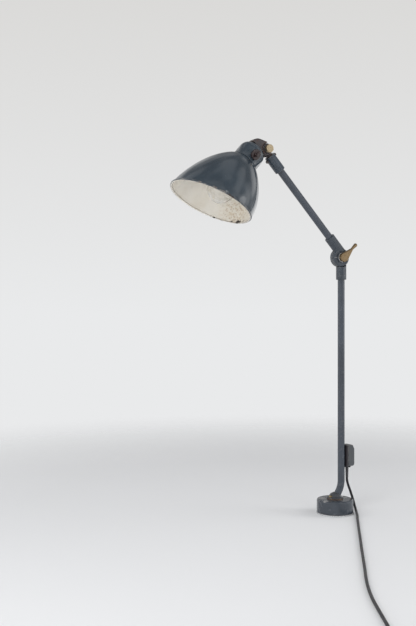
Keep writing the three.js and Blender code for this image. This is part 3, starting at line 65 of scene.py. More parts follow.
@dataclass(frozen=True)
class Place:
    """An origin and three unit axes, one per row, in which a piece is drawn."""

    origin: tuple[float, float, float] = (0.0, 0.0, 0.0)
    axes: tuple[tuple[float, float, float], ...] = ((1, 0, 0), (0, 1, 0), (0, 0, 1))

    def put(self, points: Array) -> Array:
        """Moves local points into the lamp's frame."""
        return np.asarray(self.origin) + points @ np.asarray(self.axes, float)

    def point(self, x: float, y: float, z: float) -> tuple[float, float, float]:
        """The lamp-frame place of one local point."""
        return tuple(float(v) for v in self.put(np.array([x, y, z])))

    def moved(self, x: float, y: float, z: float) -> "Place":
        """The same axes at another local point."""
        return Place(self.point(x, y, z), self.axes)

    def to_front(self) -> "Place":
        """A place whose own Z points to the front and whose X stays."""
        x, y, z = np.asarray(self.axes, float)
        return Place(self.origin, (tuple(x), tuple(z), tuple(-y)))

    def to_side(self) -> "Place":
        """A place whose own Z points along this one's X."""
        x, y, z = np.asarray(self.axes, float)
        return Place(self.origin, (tuple(-z), tuple(y), tuple(x)))


def leaning(origin: Sequence[float], degrees: float) -> Place:
    """A place turned about +Y.

    Args:
        origin: where it stands.
        degrees: how far its Z leans towards +X.

    Returns:
        The turned place.
    """
    c, s = math.cos(math.radians(degrees)), math.sin(math.radians(degrees))
    return Place(tuple(origin), ((c, 0, -s), (0, 1, 0), (s, 0, c)))


def joint_place(name: str) -> tuple[float, float, float]:
    """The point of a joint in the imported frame."""
    return next(tuple(j["pos_m"]) for j in frame["joints"] if j["name"] == name)


# ---- Surfaces -------------------------------------------------------------------------------


@dataclass
class Surface:
    """A grid of points that closes on itself along its rows' direction, its columns' or both.

    Attributes:
        points: rows by columns by 3.
        round_columns: the last column joins the first.
        round_rows: the last row joins the first.
        marks: values per grid point for the finishes.
        lengths: metres along the rows' direction and round the columns, for the map.
    """

    points: Array
    round_columns: bool = True
    round_rows: bool = False
    marks: dict[str, Array] = field(default_factory=dict)
    lengths: tuple[float, float] = (1.0, 1.0)

    def quads(self) -> Array:
        """Corner indices of the faces, turned so that the surface holds a positive volume."""
        rows, columns = self.points.shape[:2]
        i = np.arange(rows if self.round_rows else rows - 1)
        j = np.arange(columns if self.round_columns else columns - 1)
        i, j = np.meshgrid(i, j, indexing="ij")
        ni, nj = (i + 1) % rows, (j + 1) % columns
        faces = np.stack([i * columns + j, i * columns + nj, ni * columns + nj, ni * columns + j], -1)
        faces = faces.reshape(-1, 4)
        flat = self.points.reshape(-1, 3)
        a, b, c, d = (flat[faces[:, k]] for k in range(4))
        volume = np.einsum("ij,ij->", a, np.cross(b, c)) + np.einsum("ij,ij->", a, np.cross(c, d))
        return faces if volume > 0 else faces[:, ::-1]

    def map_corners(self, faces: Array) -> Array:
        """Map coordinates of each face corner: round the columns, then along the rows."""
        rows, columns = self.points.shape[:2]
        row, column = faces // columns, faces % columns
        last_row = (row.max(axis=1) == rows - 1) & (row.min(axis=1) == 0) & self.round_rows
        last_column = (column.max(axis=1) == columns - 1) & (column.min(axis=1) == 0)
        row = row + (last_row[:, None] & (row == 0)) * rows
        column = column + ((last_column & self.round_columns)[:, None] & (column == 0)) * columns
        wide = columns if self.round_columns else columns - 1
        tall = rows if self.round_rows else rows - 1
        return np.stack([column / wide * self.lengths[1], row / tall * self.lengths[0]], -1)


def rounded(corners: Array, radius: float | Array, steps: int = 6, closed: bool = True) -> Array:
    """Rounds the corners of a polyline.

    At each corner a quadratic curve leaves the side before at the radius from the corner, aims at
    the corner and joins the side after at the same distance.

    Args:
        corners: n by 2 or n by 3.
        radius: one length, or one per corner.
        steps: points on each curve.
        closed: whether the last corner joins the first.

    Returns:
        The rounded polyline, corner curves in order.
    """
    corners = np.asarray(corners, float)
    before, after = np.roll(corners, 1, 0) - corners, np.roll(corners, -1, 0) - corners
    reach = np.broadcast_to(np.asarray(radius, float), len(corners)).copy()
    size_before = np.maximum(np.linalg.norm(before, axis=1), 1e-9)
    size_after = np.maximum(np.linalg.norm(after, axis=1), 1e-9)
    reach = np.minimum(reach, 0.48 * np.minimum(size_before, size_after))
    if not closed:
        reach[[0, -1]] = 0
    start = corners + before * (reach / size_before)[:, None]
    end = corners + after * (reach / size_after)[:, None]
    t = np.linspace(0, 1, steps)[None, :, None]
    curve = (1 - t) ** 2 * start[:, None] + 2 * t * (1 - t) * corners[:, None] + t**2 * end[:, None]
    if not closed:
        middle = curve[1:-1].reshape(-1, corners.shape[1])
        return np.vstack([corners[:1], middle, corners[-1:]])
    return curve.reshape(-1, corners.shape[1])


def spaced(line: Array, step: float, closed: bool = False) -> Array:
    """Points at even distances of about a step along a polyline."""
    line = np.vstack([line, line[:1]]) if closed else line
    run = np.concatenate([[0], np.cumsum(np.linalg.norm(np.diff(line, axis=0), axis=1))])
    count = max(int(round(run[-1] / step)), 3)
    at = np.linspace(0, run[-1], count + 1)
    points = np.stack([np.interp(at, run, line[:, k]) for k in range(line.shape[1])], -1)
    return points[:-1] if closed else points


def smooth_line(stations: Array, step: float) -> Array:
    """A curve through stations: between two of them, a cubic whose slope at each is that of the
    line from its neighbour before to its neighbour after, shared by distance.

    Args:
        stations: n by 3.
        step: about how far apart the points lie.

    Returns:
        Points at even distances along the curve.
    """
    p = np.asarray(stations, float)
    t = np.concatenate([[0], np.cumsum(np.linalg.norm(np.diff(p, axis=0), axis=1))])
    slope = np.gradient(p, t, axis=0)
    fine = np.linspace(0, t[-1], int(t[-1] / step) * 4 + 2)
    k = np.clip(np.searchsorted(t, fine, side="right") - 1, 0, len(t) - 2)
    h = (t[k + 1] - t[k])[:, None]
    u = ((fine - t[k])[:, None]) / h
    curve = (
        (2 * u**3 - 3 * u**2 + 1) * p[k]
        + (u**3 - 2 * u**2 + u) * h * slope[k]
        + (3 * u**2 - 2 * u**3) * p[k + 1]
        + (u**3 - u**2) * h * slope[k + 1]
    )
    return spaced(curve, step)


def waves(points: Array, size: float, seed: int, octaves: int = 3) -> Array:
    """Soft bumps between -1 and 1: products of sines along slanted directions, each octave twice
    as fine and half as high as the one before.

    Args:
        points: any shape by 3.
        size: the widest bumps' length.
        seed: picks the directions.
        octaves: how many sizes are added.

    Returns:
        One value per point.
    """
    rng = np.random.default_rng(seed)
    total = np.zeros(points.shape[:-1])
    for octave in range(octaves):
        turn = rng.normal(size=(3, 3))
        turn /= np.linalg.norm(turn, axis=1, keepdims=True)
        phase = points @ turn.T * (2 * np.pi * 2**octave / size) + rng.uniform(0, 6.28, 3)
        total += (np.sin(phase[..., 0]) + np.sin(phase[..., 1]) * np.cos(phase[..., 2])) / 2 ** (octave + 1)
    return total / 1.4


def turned(
    profile: Array,
    place: Place,
    sides: int = 96,
    closed: bool = True,
    swell: Callable[[Array, Array], Array] | None = None,
    marks: dict[str, Array] | None = None,
) -> Surface:
    """A profile turned about the place's Z: a point at (r, h) and angle a goes to
    (r cos a, r sin a, h).

    Args:
        profile: n by 2, radius and height.
        place: where the axis stands.
        sides: points round the axis.
        closed: whether the profile is a loop; otherwise it runs from the axis to the axis.
        swell: added to the radius, as a function of the angle and the profile's points.
        marks: values per profile point.

    Returns:
        The turned surface.
    """
    angle = np.linspace(0, 2 * np.pi, sides, endpoint=False)[None, :]
    radius = np.repeat(profile[:, :1], sides, axis=1)
    height = np.repeat(profile[:, 1:2], sides, axis=1)
    if swell is not None:
        radius = radius + swell(angle, profile)
    points = np.stack([radius * np.cos(angle), radius * np.sin(angle), height], -1)
    spread = {key: np.repeat(value[:, None], sides, 1) for key, value in (marks or {}).items()}
    return Surface(place.put(points), True, closed, spread)


def carried(
    path: Array,
    section: Array,
    side: Array,
    place: Place = Place(),
) -> Surface:
    """A closed section carried along a path and shut at both ends by drawing it in to the path.

    At each station the section's first number goes along the side direction and its second along
    the tangent crossed with the side.

    Args:
        path: stations, n by 3.
        section: m by 2.
        side: unit vectors across the path, one or n.
        place: where the path is drawn.

    Returns:
        The carried surface.
    """
    tangent = np.gradient(path, axis=0)
    tangent /= np.linalg.norm(tangent, axis=1, keepdims=True)
    side = np.broadcast_to(side, path.shape)
    lift = np.cross(tangent, side)
    lift /= np.linalg.norm(lift, axis=1, keepdims=True)
    ring = path[:, None] + side[:, None] * section[None, :, :1] + lift[:, None] * section[None, :, 1:]
    ends = [np.repeat(path[[k]][:, None], len(section), axis=1) for k in (0, -1)]
    points = np.concatenate([ends[0], ring, ends[1]], axis=0)
    length = float(np.linalg.norm(np.diff(path, axis=0), axis=1).sum())
    around = float(np.linalg.norm(section - np.roll(section, 1, 0), axis=1).sum())
    return Surface(place.put(points), True, False, lengths=(length, around))


def circle(radius: float, sides: int) -> Array:
    """Points on a circle, n by 2."""
    a = np.linspace(0, 2 * np.pi, sides, endpoint=False)
    return radius * np.stack([np.cos(a), np.sin(a)], -1)


def pad(outline: Array, low: float, high: float, fillet: float, place: Place, steps: int = 6) -> Surface:
    """A flat piece with rounded edges: the outline drawn in by the fillet at both faces, swelling
    along a quarter circle to full size between them, each face shut at the outline's middle.

    Args:
        outline: n by 2, anticlockwise, its own corners already rounded.
        low: height of one face.
        high: height of the other.
        fillet: the edges' radius.
        place: the outline lies in its XY plane.
        steps: points on each edge.

    Returns:
        The closed surface.
    """
    along = np.roll(outline, -1, 0) - np.roll(outline, 1, 0)
    inward = np.stack([-along[:, 1], along[:, 0]], -1)
    inward /= np.maximum(np.linalg.norm(inward, axis=1, keepdims=True), 1e-12)
    a = np.linspace(0, np.pi / 2, steps)
    inset = fillet * (1 - np.sin(a))
    rise = fillet * (1 - np.cos(a))
    inset = np.concatenate([inset, inset[::-1]])
    height = np.concatenate([low + rise, (high - rise)[::-1]])
    rings = outline[None] + inward[None] * inset[:, None, None]
    middle = outline.mean(0)
    shares = np.array([0.0, 0.5, 0.85])
    near = middle + (rings[:1] - middle) * shares[:, None, None]
    far = middle + (rings[-1:] - middle) * shares[::-1, None, None]
    flat = np.concatenate([near, rings, far], axis=0)
    level = np.concatenate([np.full(3, low), height, np.full(3, high)])
    points = np.concatenate([flat, np.broadcast_to(level[:, None, None], (*flat.shape[:2], 1))], -1)
    return Surface(place.put(points))


# ---- Meshes ---------------------------------------------------------------------------------


def joined(name: str, surfaces: Sequence[Surface]) -> bpy.types.Mesh:
    """Puts surfaces into one mesh with their marks and map, and shuts its seams and poles.

    Args:
        name: the mesh's name.
        surfaces: the surfaces, which may pass through each other.

    Returns:
        The mesh.
    """
    faces, corners, points, start = [], [], [], 0
    for surface in surfaces:
        own = surface.quads()
        faces.append(own + start)
        corners.append(surface.map_corners(own))
        points.append(surface.points.reshape(-1, 3))
        start += len(points[-1])
    points, faces, corners = np.vstack(points), np.vstack(faces), np.vstack(corners)
    mesh = bpy.data.meshes.new(name)
    mesh.vertices.add(len(points))
    mesh.vertices.foreach_set("co", points.ravel())
    mesh.loops.add(faces.size)
    mesh.loops.foreach_set("vertex_index", faces.ravel().astype(np.int32))
    mesh.polygons.add(len(faces))
    mesh.polygons.foreach_set("loop_start", np.arange(0, faces.size, 4, dtype=np.int32))
    mesh.uv_layers.new(name="map").data.foreach_set("uv", corners.ravel())
    for key in sorted({k for s in surfaces for k in s.marks}):
        blank = [s.marks.get(key, np.zeros(s.points.shape[:2])).ravel() for s in surfaces]
        mesh.attributes.new(key, "FLOAT", "POINT").data.foreach_set("value", np.concatenate(blank))
    mesh.update(calc_edges=True)
    shut(mesh)
    return mesh


def shut(mesh: bpy.types.Mesh) -> None:
    """Merges the points that coincide and drops faces with no area."""
    work = bmesh.new()
    work.from_mesh(mesh)
    bmesh.ops.remove_doubles(work, verts=work.verts, dist=2e-7)
    bmesh.ops.dissolve_degenerate(work, edges=work.edges, dist=1e-8)
    work.to_mesh(mesh)
    work.free()


def mark_edges(mesh: bpy.types.Mesh) -> None:
    """Stores how sharply the surface bends outwards at each point, per millimetre.

    Along each edge the bend is twice the drop of one end below the other's tangent plane, over
    the edge's length squared. A point keeps the largest bend of its edges.
    """
    points, normals = np.empty(len(mesh.vertices) * 3), np.empty(len(mesh.vertices) * 3)
    mesh.vertices.foreach_get("co", points)
    mesh.vertex_normals.foreach_get("vector", normals)
    points, normals = points.reshape(-1, 3), normals.reshape(-1, 3)
    ends = np.empty(len(mesh.edges) * 2, np.int32)
    mesh.edges.foreach_get("vertices", ends)
    a, b = ends.reshape(-1, 2).T
    gap = points[a] - points[b]
    size = np.maximum((gap**2).sum(1), 1e-12)
    bend = np.zeros(len(points))
    np.maximum.at(bend, a, 2 * (gap * normals[a]).sum(1) / size)
    np.maximum.at(bend, b, -2 * (gap * normals[b]).sum(1) / size)
    bend = np.clip(bend * MM, 0, 2)
    mesh.attributes.new("edge", "FLOAT", "POINT").data.foreach_set("value", bend.astype(np.float32))


def finish_piece(
    name: str,
    mesh: bpy.types.Mesh,
    look: "Look",
    body: str,
    stands_for: Sequence[str] = (),
) -> bpy.types.Object:
    """Makes an object of a mesh and ties it to the frame.

    Args:
        name: the piece's name.
        mesh: its mesh, in the lamp's frame.
        look: its finish.
        body: the body it rides on.
        stands_for: the frame's nodes it replaces.

    Returns:
        The object.
    """
    mesh.polygons.foreach_set("use_smooth", np.ones(len(mesh.polygons), bool))
    mark_edges(mesh)
    mesh.materials.clear()
    mesh.materials.append(look.material())
    piece = bpy.data.objects.new(name, mesh)
    bpy.context.scene.collection.objects.link(piece)
    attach(piece, body)
    if stands_for:
        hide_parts(*stands_for)
    LOG.info("%s: %d faces on %s", name, len(mesh.polygons), body)
    return piece


def softened(node: str, voxel: float, rounds: int, lumps: float = 0.0) -> bpy.types.Mesh:
    """A copy of a cut and joined frame node with its edges worn round, as a casting's are.

    The node's shape comes from cutting solids, so the copy is remeshed evenly and smoothed, and
    its points then move along their normals by soft bumps.

    Args:
        node: the frame's node.
        voxel: the new faces' size.
        rounds: how often it is smoothed.
        lumps: the bumps' height.

    Returns:
        The new mesh.
    """
    mesh = frame["nodes"][node].data.copy()
    shut(mesh)
    draft = bpy.data.objects.new(node + "_draft", mesh)
    bpy.context.scene.collection.objects.link(draft)
    remesh = draft.modifiers.new("remesh", "REMESH")
    remesh.mode = "VOXEL"
    remesh.voxel_size = voxel
    smooth = draft.modifiers.new("smooth", "SMOOTH")
    smooth.factor = 0.5
    smooth.iterations = rounds
    result = bpy.data.meshes.new_from_object(draft.evaluated_get(bpy.context.evaluated_depsgraph_get()))
    bpy.data.objects.remove(draft)
    if lumps:
        size = len(result.vertices) * 3
        points, normals = np.empty(size), np.empty(size)
        result.vertices.foreach_get("co", points)
        result.vertex_normals.foreach_get("vector", normals)
        points, normals = points.reshape(-1, 3), normals.reshape(-1, 3)
        points += normals * (lumps * waves(points, 9 * MM, 5, 4))[:, None]
        result.vertices.foreach_set("co", points.ravel())
        result.update()
    return result


def worn(
    node: str,
    ending: str,
    voxel: float,
    rounds: int,
    look: "Look",
    body: str,
    lumps: float = 0.0,
) -> bpy.types.Object:
    """Puts a softened copy of a frame node in its place.

    Args:
        node: the frame's node.
        ending: what its name gets after the node's.
        voxel: the new faces' size.
        rounds: how often it is smoothed.
        look: its finish.
        body: the body it rides on.
        lumps: the height of its bumps.

    Returns:
        The object.
    """
    return finish_piece(f"{node}_{ending}", softened(node, voxel, rounds, lumps), look, body, [node])


# ---- Shader maths ---------------------------------------------------------------------------


class Signal:
    """A shader socket that Python's operators work on."""

    def __init__(self, graph: "Graph", socket: bpy.types.NodeSocket) -> None:
        """Wraps a socket of a graph."""
        self.graph, self.socket = graph, socket

    def __add__(self, other: "Signal | float") -> "Signal":
        """The sum."""
        return self.graph.math("ADD", self, other)

    def __mul__(self, other: "Signal | float") -> "Signal":
        """The product."""
        return self.graph.math("MULTIPLY", self, other)

    def __sub__(self, other: "Signal | float") -> "Signal":
        """The difference."""
        return self.graph.math("SUBTRACT", self, other)

    def __rsub__(self, other: float) -> "Signal":
        """The difference from a number."""
        return self.graph.math("SUBTRACT", other, self)

    def __truediv__(self, other: "Signal | float") -> "Signal":
        """The quotient."""
        return self.graph.math("DIVIDE", self, other)

    __radd__ = __add__
    __rmul__ = __mul__


Value = Signal | float | Sequence[float]


class Graph:
    """The node tree of one material."""

    def __init__(self, name: str) -> None:
        """Starts an empty material."""
        self.material = bpy.data.materials.new(name)
        self.material.use_nodes = True
        self.tree = self.material.node_tree
        self.tree.nodes.clear()

    def node(
        self,
        kind: str,
        settings: dict[str, object],
        inputs: dict[str | int, Value],
        out: int | str = 0,
    ) -> Signal:
        """Adds any node.

        Args:
            kind: the node's type, without its prefix.
            settings: attributes that are set first.
            inputs: values or signals for its sockets.
            out: the output that is wanted.

        Returns:
            That output.
        """
        made = self.tree.nodes.new("ShaderNode" + kind)
        for key, value in settings.items():
            setattr(made, key, value)
        for key, value in inputs.items():
            socket = made.inputs[key]
            if isinstance(value, Signal):
                self.tree.links.new(value.socket, socket)
            elif value is not None:
                wide = hasattr(socket.default_value, "__len__") and len(socket.default_value) == 4
                socket.default_value = (*value, 1.0) if wide and len(value) == 3 else value
        return Signal(self, made.outputs[out])

    def math(self, operation: str, *values: "Signal | float") -> Signal:
        """A Math node on one, two or three values."""
        return self.node("Math", {"operation": operation}, dict(enumerate(values)))

    def distance(self, a: Value, b: Value) -> Signal:
        """How far apart two places are."""
        return self.node("VectorMath", {"operation": "DISTANCE"}, {0: a, 1: b}, "Value")

    def step(self, value: Signal, low: float, high: float) -> Signal:
        """Rises smoothly from 0 at low to 1 at high; falls if low is above high."""
        if low > high:
            return 1.0 - self.step(value, high, low)
        return self.node(
            "MapRange",
            {"interpolation_type": "SMOOTHSTEP"},
            {"Value": value, "From Min": low, "From Max": high, "To Min": 0.0, "To Max": 1.0},
            "Result",
        )

    def mix(self, share: "Signal | float", a: Value, b: Value) -> Signal:
        """A colour between two colours."""
        return self.node("Mix", {"data_type": "RGBA"}, {0: share, 6: a, 7: b}, 2)

    def place(self) -> Signal:
        """The point's place in the lamp's frame."""
        return self.node("TexCoord", {}, {}, "Object")

    def axis(self, vector: Signal, name: str) -> Signal:
        """One of a vector's numbers."""
        return self.node("SeparateXYZ", {}, {0: vector}, name)

    def mark(self, name: str) -> Signal:
        """A value stored on the piece."""
        return self.node("Attribute", {"attribute_name": name}, {}, "Fac")

    def noise(self, where: Signal, size: float, detail: float = 3.0, rough: float = 0.55) -> Signal:
        """Cloudy noise whose patches are about as wide as size."""
        inputs = {"Vector": where, "Scale": 1.0 / size, "Detail": detail, "Roughness": rough}
        return self.node("TexNoise", {}, inputs, "Fac")

    def cells(self, where: Signal, size: float) -> Signal:
        """Distance to the nearest of scattered points, in shares of their spacing."""
        return self.node("TexVoronoi", {}, {"Vector": where, "Scale": 1.0 / size}, "Distance")

    def stretched(self, where: Signal, scale: Sequence[float], turn: Sequence[float] = (0, 0, 0)) -> Signal:
        """A place turned and stretched, for streaks."""
        return self.node("Mapping", {}, {"Vector": where, "Rotation": turn, "Scale": scale})

    def bump(self, height: Signal, depth: float, before: Signal | None = None) -> Signal:
        """Relief of a height between 0 and 1, its depth in metres."""
        return self.node("Bump", {}, {"Height": height, "Distance": depth, "Strength": 1.0, "Normal": before})

    def done(self, constants: dict[str, object], signals: dict[str, Signal]) -> bpy.types.Material:
        """Ends in a Principled shader.

        Args:
            constants: numbers and colours that are the same all over.
            signals: what changes over the surface.

        Returns:
            The material.
        """
        shader = self.node("BsdfPrincipled", {}, {**constants, **signals})
        self.end(shader)
        return self.material

    def end(self, shader: Signal) -> None:
        """Joins a shader to the material's output."""
        output = self.tree.nodes.new("ShaderNodeOutputMaterial")
        self.tree.links.new(shader.socket, output.inputs["Surface"])


def tone(red: int, green: int, blue: int) -> Colour:
    """A colour seen as these screen values, as the light it sends back."""
    def light(v: float) -> float:
        """One channel."""
        return v / 12.92 if v <= 0.04045 else ((v + 0.055) / 1.055) ** 2.4

    return tuple(light(v / 255) for v in (red, green, blue))


def times(colour: Colour, share: float) -> Colour:
    """A colour made brighter or darker."""
    return tuple(c * share for c in colour)


# ---- Finishes -------------------------------------------------------------------------------


@dataclass(frozen=True)
class Look:
    """A finish: a name, the record's slot it belongs to, and how its material is made."""

    name: str
    slot: str

    def material(self) -> bpy.types.Material:
        """The finish's material, made once."""
        return bpy.data.materials.get(self.name) or self.make(Graph(self.name))

    def make(self, g: Graph) -> bpy.types.Material:
        """Builds the nodes."""
        raise NotImplementedError


@dataclass(frozen=True)
class Enamel(Look):
    """Fired enamel on sheet iron: slate outside, cream inside, chipped along its edge."""

    coat: Colour = tone(47, 56, 64)
    lining: Colour = tone(238, 235, 228)
    iron: Colour = tone(40, 36, 36)
    ground: Colour = tone(168, 160, 152)
    chips: tuple[tuple[tuple[float, float, float], float], ...] = ()
    spotted: tuple[tuple[float, float, float], float] | None = None

    def make(self, g: Graph) -> bpy.types.Material:
        """Builds the nodes."""
        where = g.place()
        edge, lining, rim = g.mark("edge"), g.mark("lining"), g.mark("rim")
        cloud, fine, grit = g.noise(where, 0.05), g.noise(where, 0.006), g.noise(where, 0.0012, 5)
        outside = g.mix(g.step(cloud, 0.3, 0.75), self.coat, times(self.coat, 1.22))
        outside = g.mix(g.step(fine, 0.62, 0.8) * 0.25, outside, times(self.coat, 1.9))
        inside = g.mix(g.step(cloud, 0.25, 0.8), self.lining, tone(230, 224, 212))
        inside = g.mix(g.step(fine, 0.6, 0.78) * 0.25, inside, tone(206, 190, 166))
        colour = g.mix(lining, outside, inside)
        chipped = g.step(rim + grit * 0.5 + fine * 0.7, 1.7, 1.76)
        for centre, size in self.chips:
            far = g.distance(where, centre) / size + (fine - 0.5) * 1.4 + (grit - 0.5) * 0.8
            chipped = g.math("MAXIMUM", chipped, g.step(far, 1.0, 0.86))
        if self.spotted:
            near = g.step(g.distance(where, self.spotted[0]), self.spotted[1], self.spotted[1] * 0.15)
            dots = g.step(g.cells(where, 0.0042) + grit * 0.5, 0.62, 0.5) * near * lining
            colour = g.mix(dots * 0.65, colour, tone(150, 112, 72))
            colour = g.mix(near * lining * g.step(fine, 0.4, 0.7) * 0.45, colour, tone(196, 172, 134))
        halo = g.step(rim + grit * 0.5 + fine * 0.7, 1.62, 1.72)
        colour = g.mix(halo * 0.6, colour, self.ground)
        # Painted highlight: a light grey line along the rim's bead, where the surface bends most sharply.
        colour = g.mix(g.step(edge + (fine - 0.5) * 0.6, 0.5, 0.85) * rim * 0.45, colour, tone(104, 100, 98))
        colour = g.mix(chipped, colour, g.mix(g.step(grit, 0.5, 0.75), self.iron, tone(92, 64, 48)))
        rough = 0.12 + g.step(cloud, 0.3, 0.8) * 0.08 + g.step(fine, 0.55, 0.8) * 0.12 + chipped * 0.45
        peel = g.bump(g.noise(where, 0.0045, 2), 0.00005)
        relief = g.bump(1.0 - chipped, 0.00035, peel)
        constants = {"Metallic": 0.0, "IOR": 1.5, "Specular IOR Level": 0.5}
        coat = (1.0 - chipped) * 0.3
        signals = {"Base Color": colour, "Roughness": rough, "Coat Weight": coat, "Normal": relief}
        return g.done(constants, signals)


@dataclass(frozen=True)
class Paint(Look):
    """Paint on iron, rubbed through to a lighter ground and to metal along its edges."""

    coat: Colour = tone(60, 66, 75)
    ground: Colour = tone(120, 122, 126)
    metal: Colour = tone(156, 152, 148)
    rust: Colour = tone(112, 74, 52)
    gloss: float = 0.2
    wear: float = 0.35
    rusty: float = 0.02
    grain: float = 0.00006
    marks: tuple[tuple[tuple[float, float, float], float], ...] = ()

    def make(self, g: Graph) -> bpy.types.Material:
        """Builds the nodes."""
        where = g.place()
        edge = g.mark("edge")
        cloud, patch = g.noise(where, 0.045), g.noise(where, 0.011, 4)
        fine, grit = g.noise(where, 0.003, 4), g.noise(where, 0.0008, 4)
        streaks = g.noise(g.stretched(where, (1.0, 1.0, 0.08), (0.2, 0.1, 0.0)), 0.0016, 4)
        colour = g.mix(g.step(cloud, 0.3, 0.75), times(self.coat, 0.86), times(self.coat, 1.16))
        colour = g.mix(g.step(patch, 0.58, 0.75) * 0.16, colour, self.ground)
        colour = g.mix(g.step(streaks, 0.64, 0.78) * 0.12, colour, self.ground)
        rubbed = g.step(edge + (patch - 0.5) * 1.3 + (fine - 0.5) * 0.9, 1.05 - self.wear, 1.25 - self.wear)
        nicks = g.step(fine + patch * 0.35, 0.97 - self.wear * 0.08, 1.02 - self.wear * 0.08)
        bare = g.math("MAXIMUM", rubbed, nicks)
        for centre, size in self.marks:
            far = g.distance(where, centre) / size + (fine - 0.5) * 1.5
            bare = g.math("MAXIMUM", bare, g.step(far, 1.0, 0.75))
        rusted = g.step(patch * 0.6 + fine * 0.6, 0.72 - self.rusty, 0.84 - self.rusty)
        under = g.mix(g.step(grit, 0.4, 0.65), self.ground, self.metal)
        colour = g.mix(bare * 0.85, colour, under)
        colour = g.mix(rusted * self.rusty * 2.5, colour, self.rust)
        rough = self.gloss + g.step(patch, 0.4, 0.75) * 0.14 + rusted * 0.3 + (grit - 0.5) * 0.08
        height = fine * 0.4 + grit * 0.35 + (1.0 - bare) * 0.6
        relief = g.bump(height, self.grain)
        signals = {"Base Color": colour, "Roughness": rough, "Metallic": bare * 0.5, "Normal": relief}
        return g.done({"IOR": 1.5, "Coat Weight": 0.12}, signals)


@dataclass(frozen=True)
class Metal(Look):
    """Bare metal with tarnish in patches, brighter along its edges, and fine scratches."""

    bright: Colour = tone(170, 168, 164)
    dull: Colour = tone(110, 106, 102)
    spots: Colour = tone(84, 60, 46)
    rough: float = 0.34
    tarnish: float = 0.5
    metallic: float = 0.9
    grain: float = 0.00004

    def make(self, g: Graph) -> bpy.types.Material:
        """Builds the nodes."""
        where = g.place()
        edge = g.mark("edge")
        patch, fine, grit = g.noise(where, 0.007, 4), g.noise(where, 0.0022, 4), g.noise(where, 0.0006, 4)
        lines = g.noise(g.stretched(where, (1.0, 0.06, 1.0), (0.0, 0.0, 0.6)), 0.0005, 3)
        dulled = g.step(patch + (fine - 0.5) * 0.5, 0.75 - self.tarnish * 0.5, 0.95 - self.tarnish * 0.5)
        colour = g.mix(dulled, self.bright, self.dull)
        colour = g.mix(g.step(fine * 0.7 + patch * 0.4, 0.66, 0.76) * 0.7, colour, self.spots)
        polished = tuple(min(c * 1.5, 0.9) for c in self.bright)
        colour = g.mix(g.step(edge + (fine - 0.5) * 0.6, 0.7, 1.3) * 0.6, colour, polished)
        rough = self.rough + dulled * 0.22 + (lines - 0.5) * 0.2
        height = lines * 0.5 + fine * 0.5 + grit * 0.2
        signals = {
            "Base Color": colour,
            "Roughness": rough,
            "Metallic": self.metallic - dulled * 0.25,
            "Normal": g.bump(height, self.grain),
        }
        return g.done({"IOR": 1.5}, signals)


@dataclass(frozen=True)
class Moulded(Look):
    """Moulded or pressed stuff: phenolic, rubber, fibre or porcelain, mottled in two tones."""

    base: Colour = tone(52, 30, 26)
    fleck: Colour = tone(88, 52, 40)
    rough: float = 0.3
    size: float = 0.004
    grain: float = 0.00004
    coat: float = 0.2

    def make(self, g: Graph) -> bpy.types.Material:
        """Builds the nodes."""
        where = g.place()
        edge = g.mark("edge")
        swirl = g.noise(g.stretched(where, (1.0, 1.6, 0.6), (0.4, 0.3, 0.2)), self.size, 4)
        fine, grit = g.noise(where, self.size * 0.3, 3), g.noise(where, 0.0005, 4)
        colour = g.mix(g.step(swirl, 0.42, 0.68), self.base, self.fleck)
        colour = g.mix(g.step(fine, 0.6, 0.8) * 0.4, colour, times(self.base, 0.6))
        pale = tuple(min(c * 2.2 + 0.02, 0.9) for c in self.base)
        colour = g.mix(g.step(edge + (fine - 0.5) * 0.8, 0.8, 1.5) * 0.35, colour, pale)
        rough = self.rough + g.step(swirl, 0.3, 0.7) * 0.1 + (grit - 0.5) * 0.12
        relief = g.bump(fine * 0.5 + grit * 0.5, self.grain)
        signals = {"Base Color": colour, "Roughness": rough, "Normal": relief}
        return g.done({"IOR": 1.5, "Coat Weight": self.coat, "Metallic": 0.0}, signals)


@dataclass(frozen=True)
class Braid(Look):
    """A braided sleeve: two sets of strands that cross at a slant, read from the piece's map."""

    thread: Colour = tone(44, 42, 48)
    shine: Colour = tone(82, 80, 88)
    strands: int = 8
    pitch: float = 0.0042
    around: float = math.pi * 5.4 * MM

    def make(self, g: Graph) -> bpy.types.Material:
        """Builds the nodes.

        Each set's strand height is a sine of the turn round the cord plus or minus the run along it, brought to
        lie between 0 and 1, and the sets take turns on top.
        """
        spot = g.node("UVMap", {"uv_map": "map"}, {}, "UV")
        turn = g.axis(spot, "X") * (2 * math.pi * self.strands / self.around)
        run = g.axis(spot, "Y") * (2 * math.pi / self.pitch)
        one, two = g.math("SINE", turn + run), g.math("SINE", turn - run)
        over = g.step(g.math("SINE", turn) * g.math("COSINE", run), -0.25, 0.25)
        height = (one * over + two * (1.0 - over)) * 0.5 + 0.5
        where = g.place()
        fuzz, worn = g.noise(where, 0.0004, 4), g.noise(where, 0.03, 3)
        # Painted shade: the thread darkens to four tenths of its tone in the low gaps between the strands.
        colour = g.mix(g.step(height, 0.35, 0.95), times(self.thread, 0.4), self.thread)
        # Painted sheen: a paler tone on the strands' crowns.
        colour = g.mix(g.step(height + (fuzz - 0.5), 0.85, 1.15) * 0.6, colour, self.shine)
        colour = g.mix(g.step(worn, 0.5, 0.8) * 0.25, colour, tone(96, 92, 92))
        rough = 0.78 + (fuzz - 0.5) * 0.3
        signals = {"Base Color": colour, "Roughness": rough, "Normal": g.bump(height + fuzz * 0.3, 0.0003)}
        return g.done({"Sheen Weight": 0.15, "Specular IOR Level": 0.3, "Metallic": 0.0}, signals)


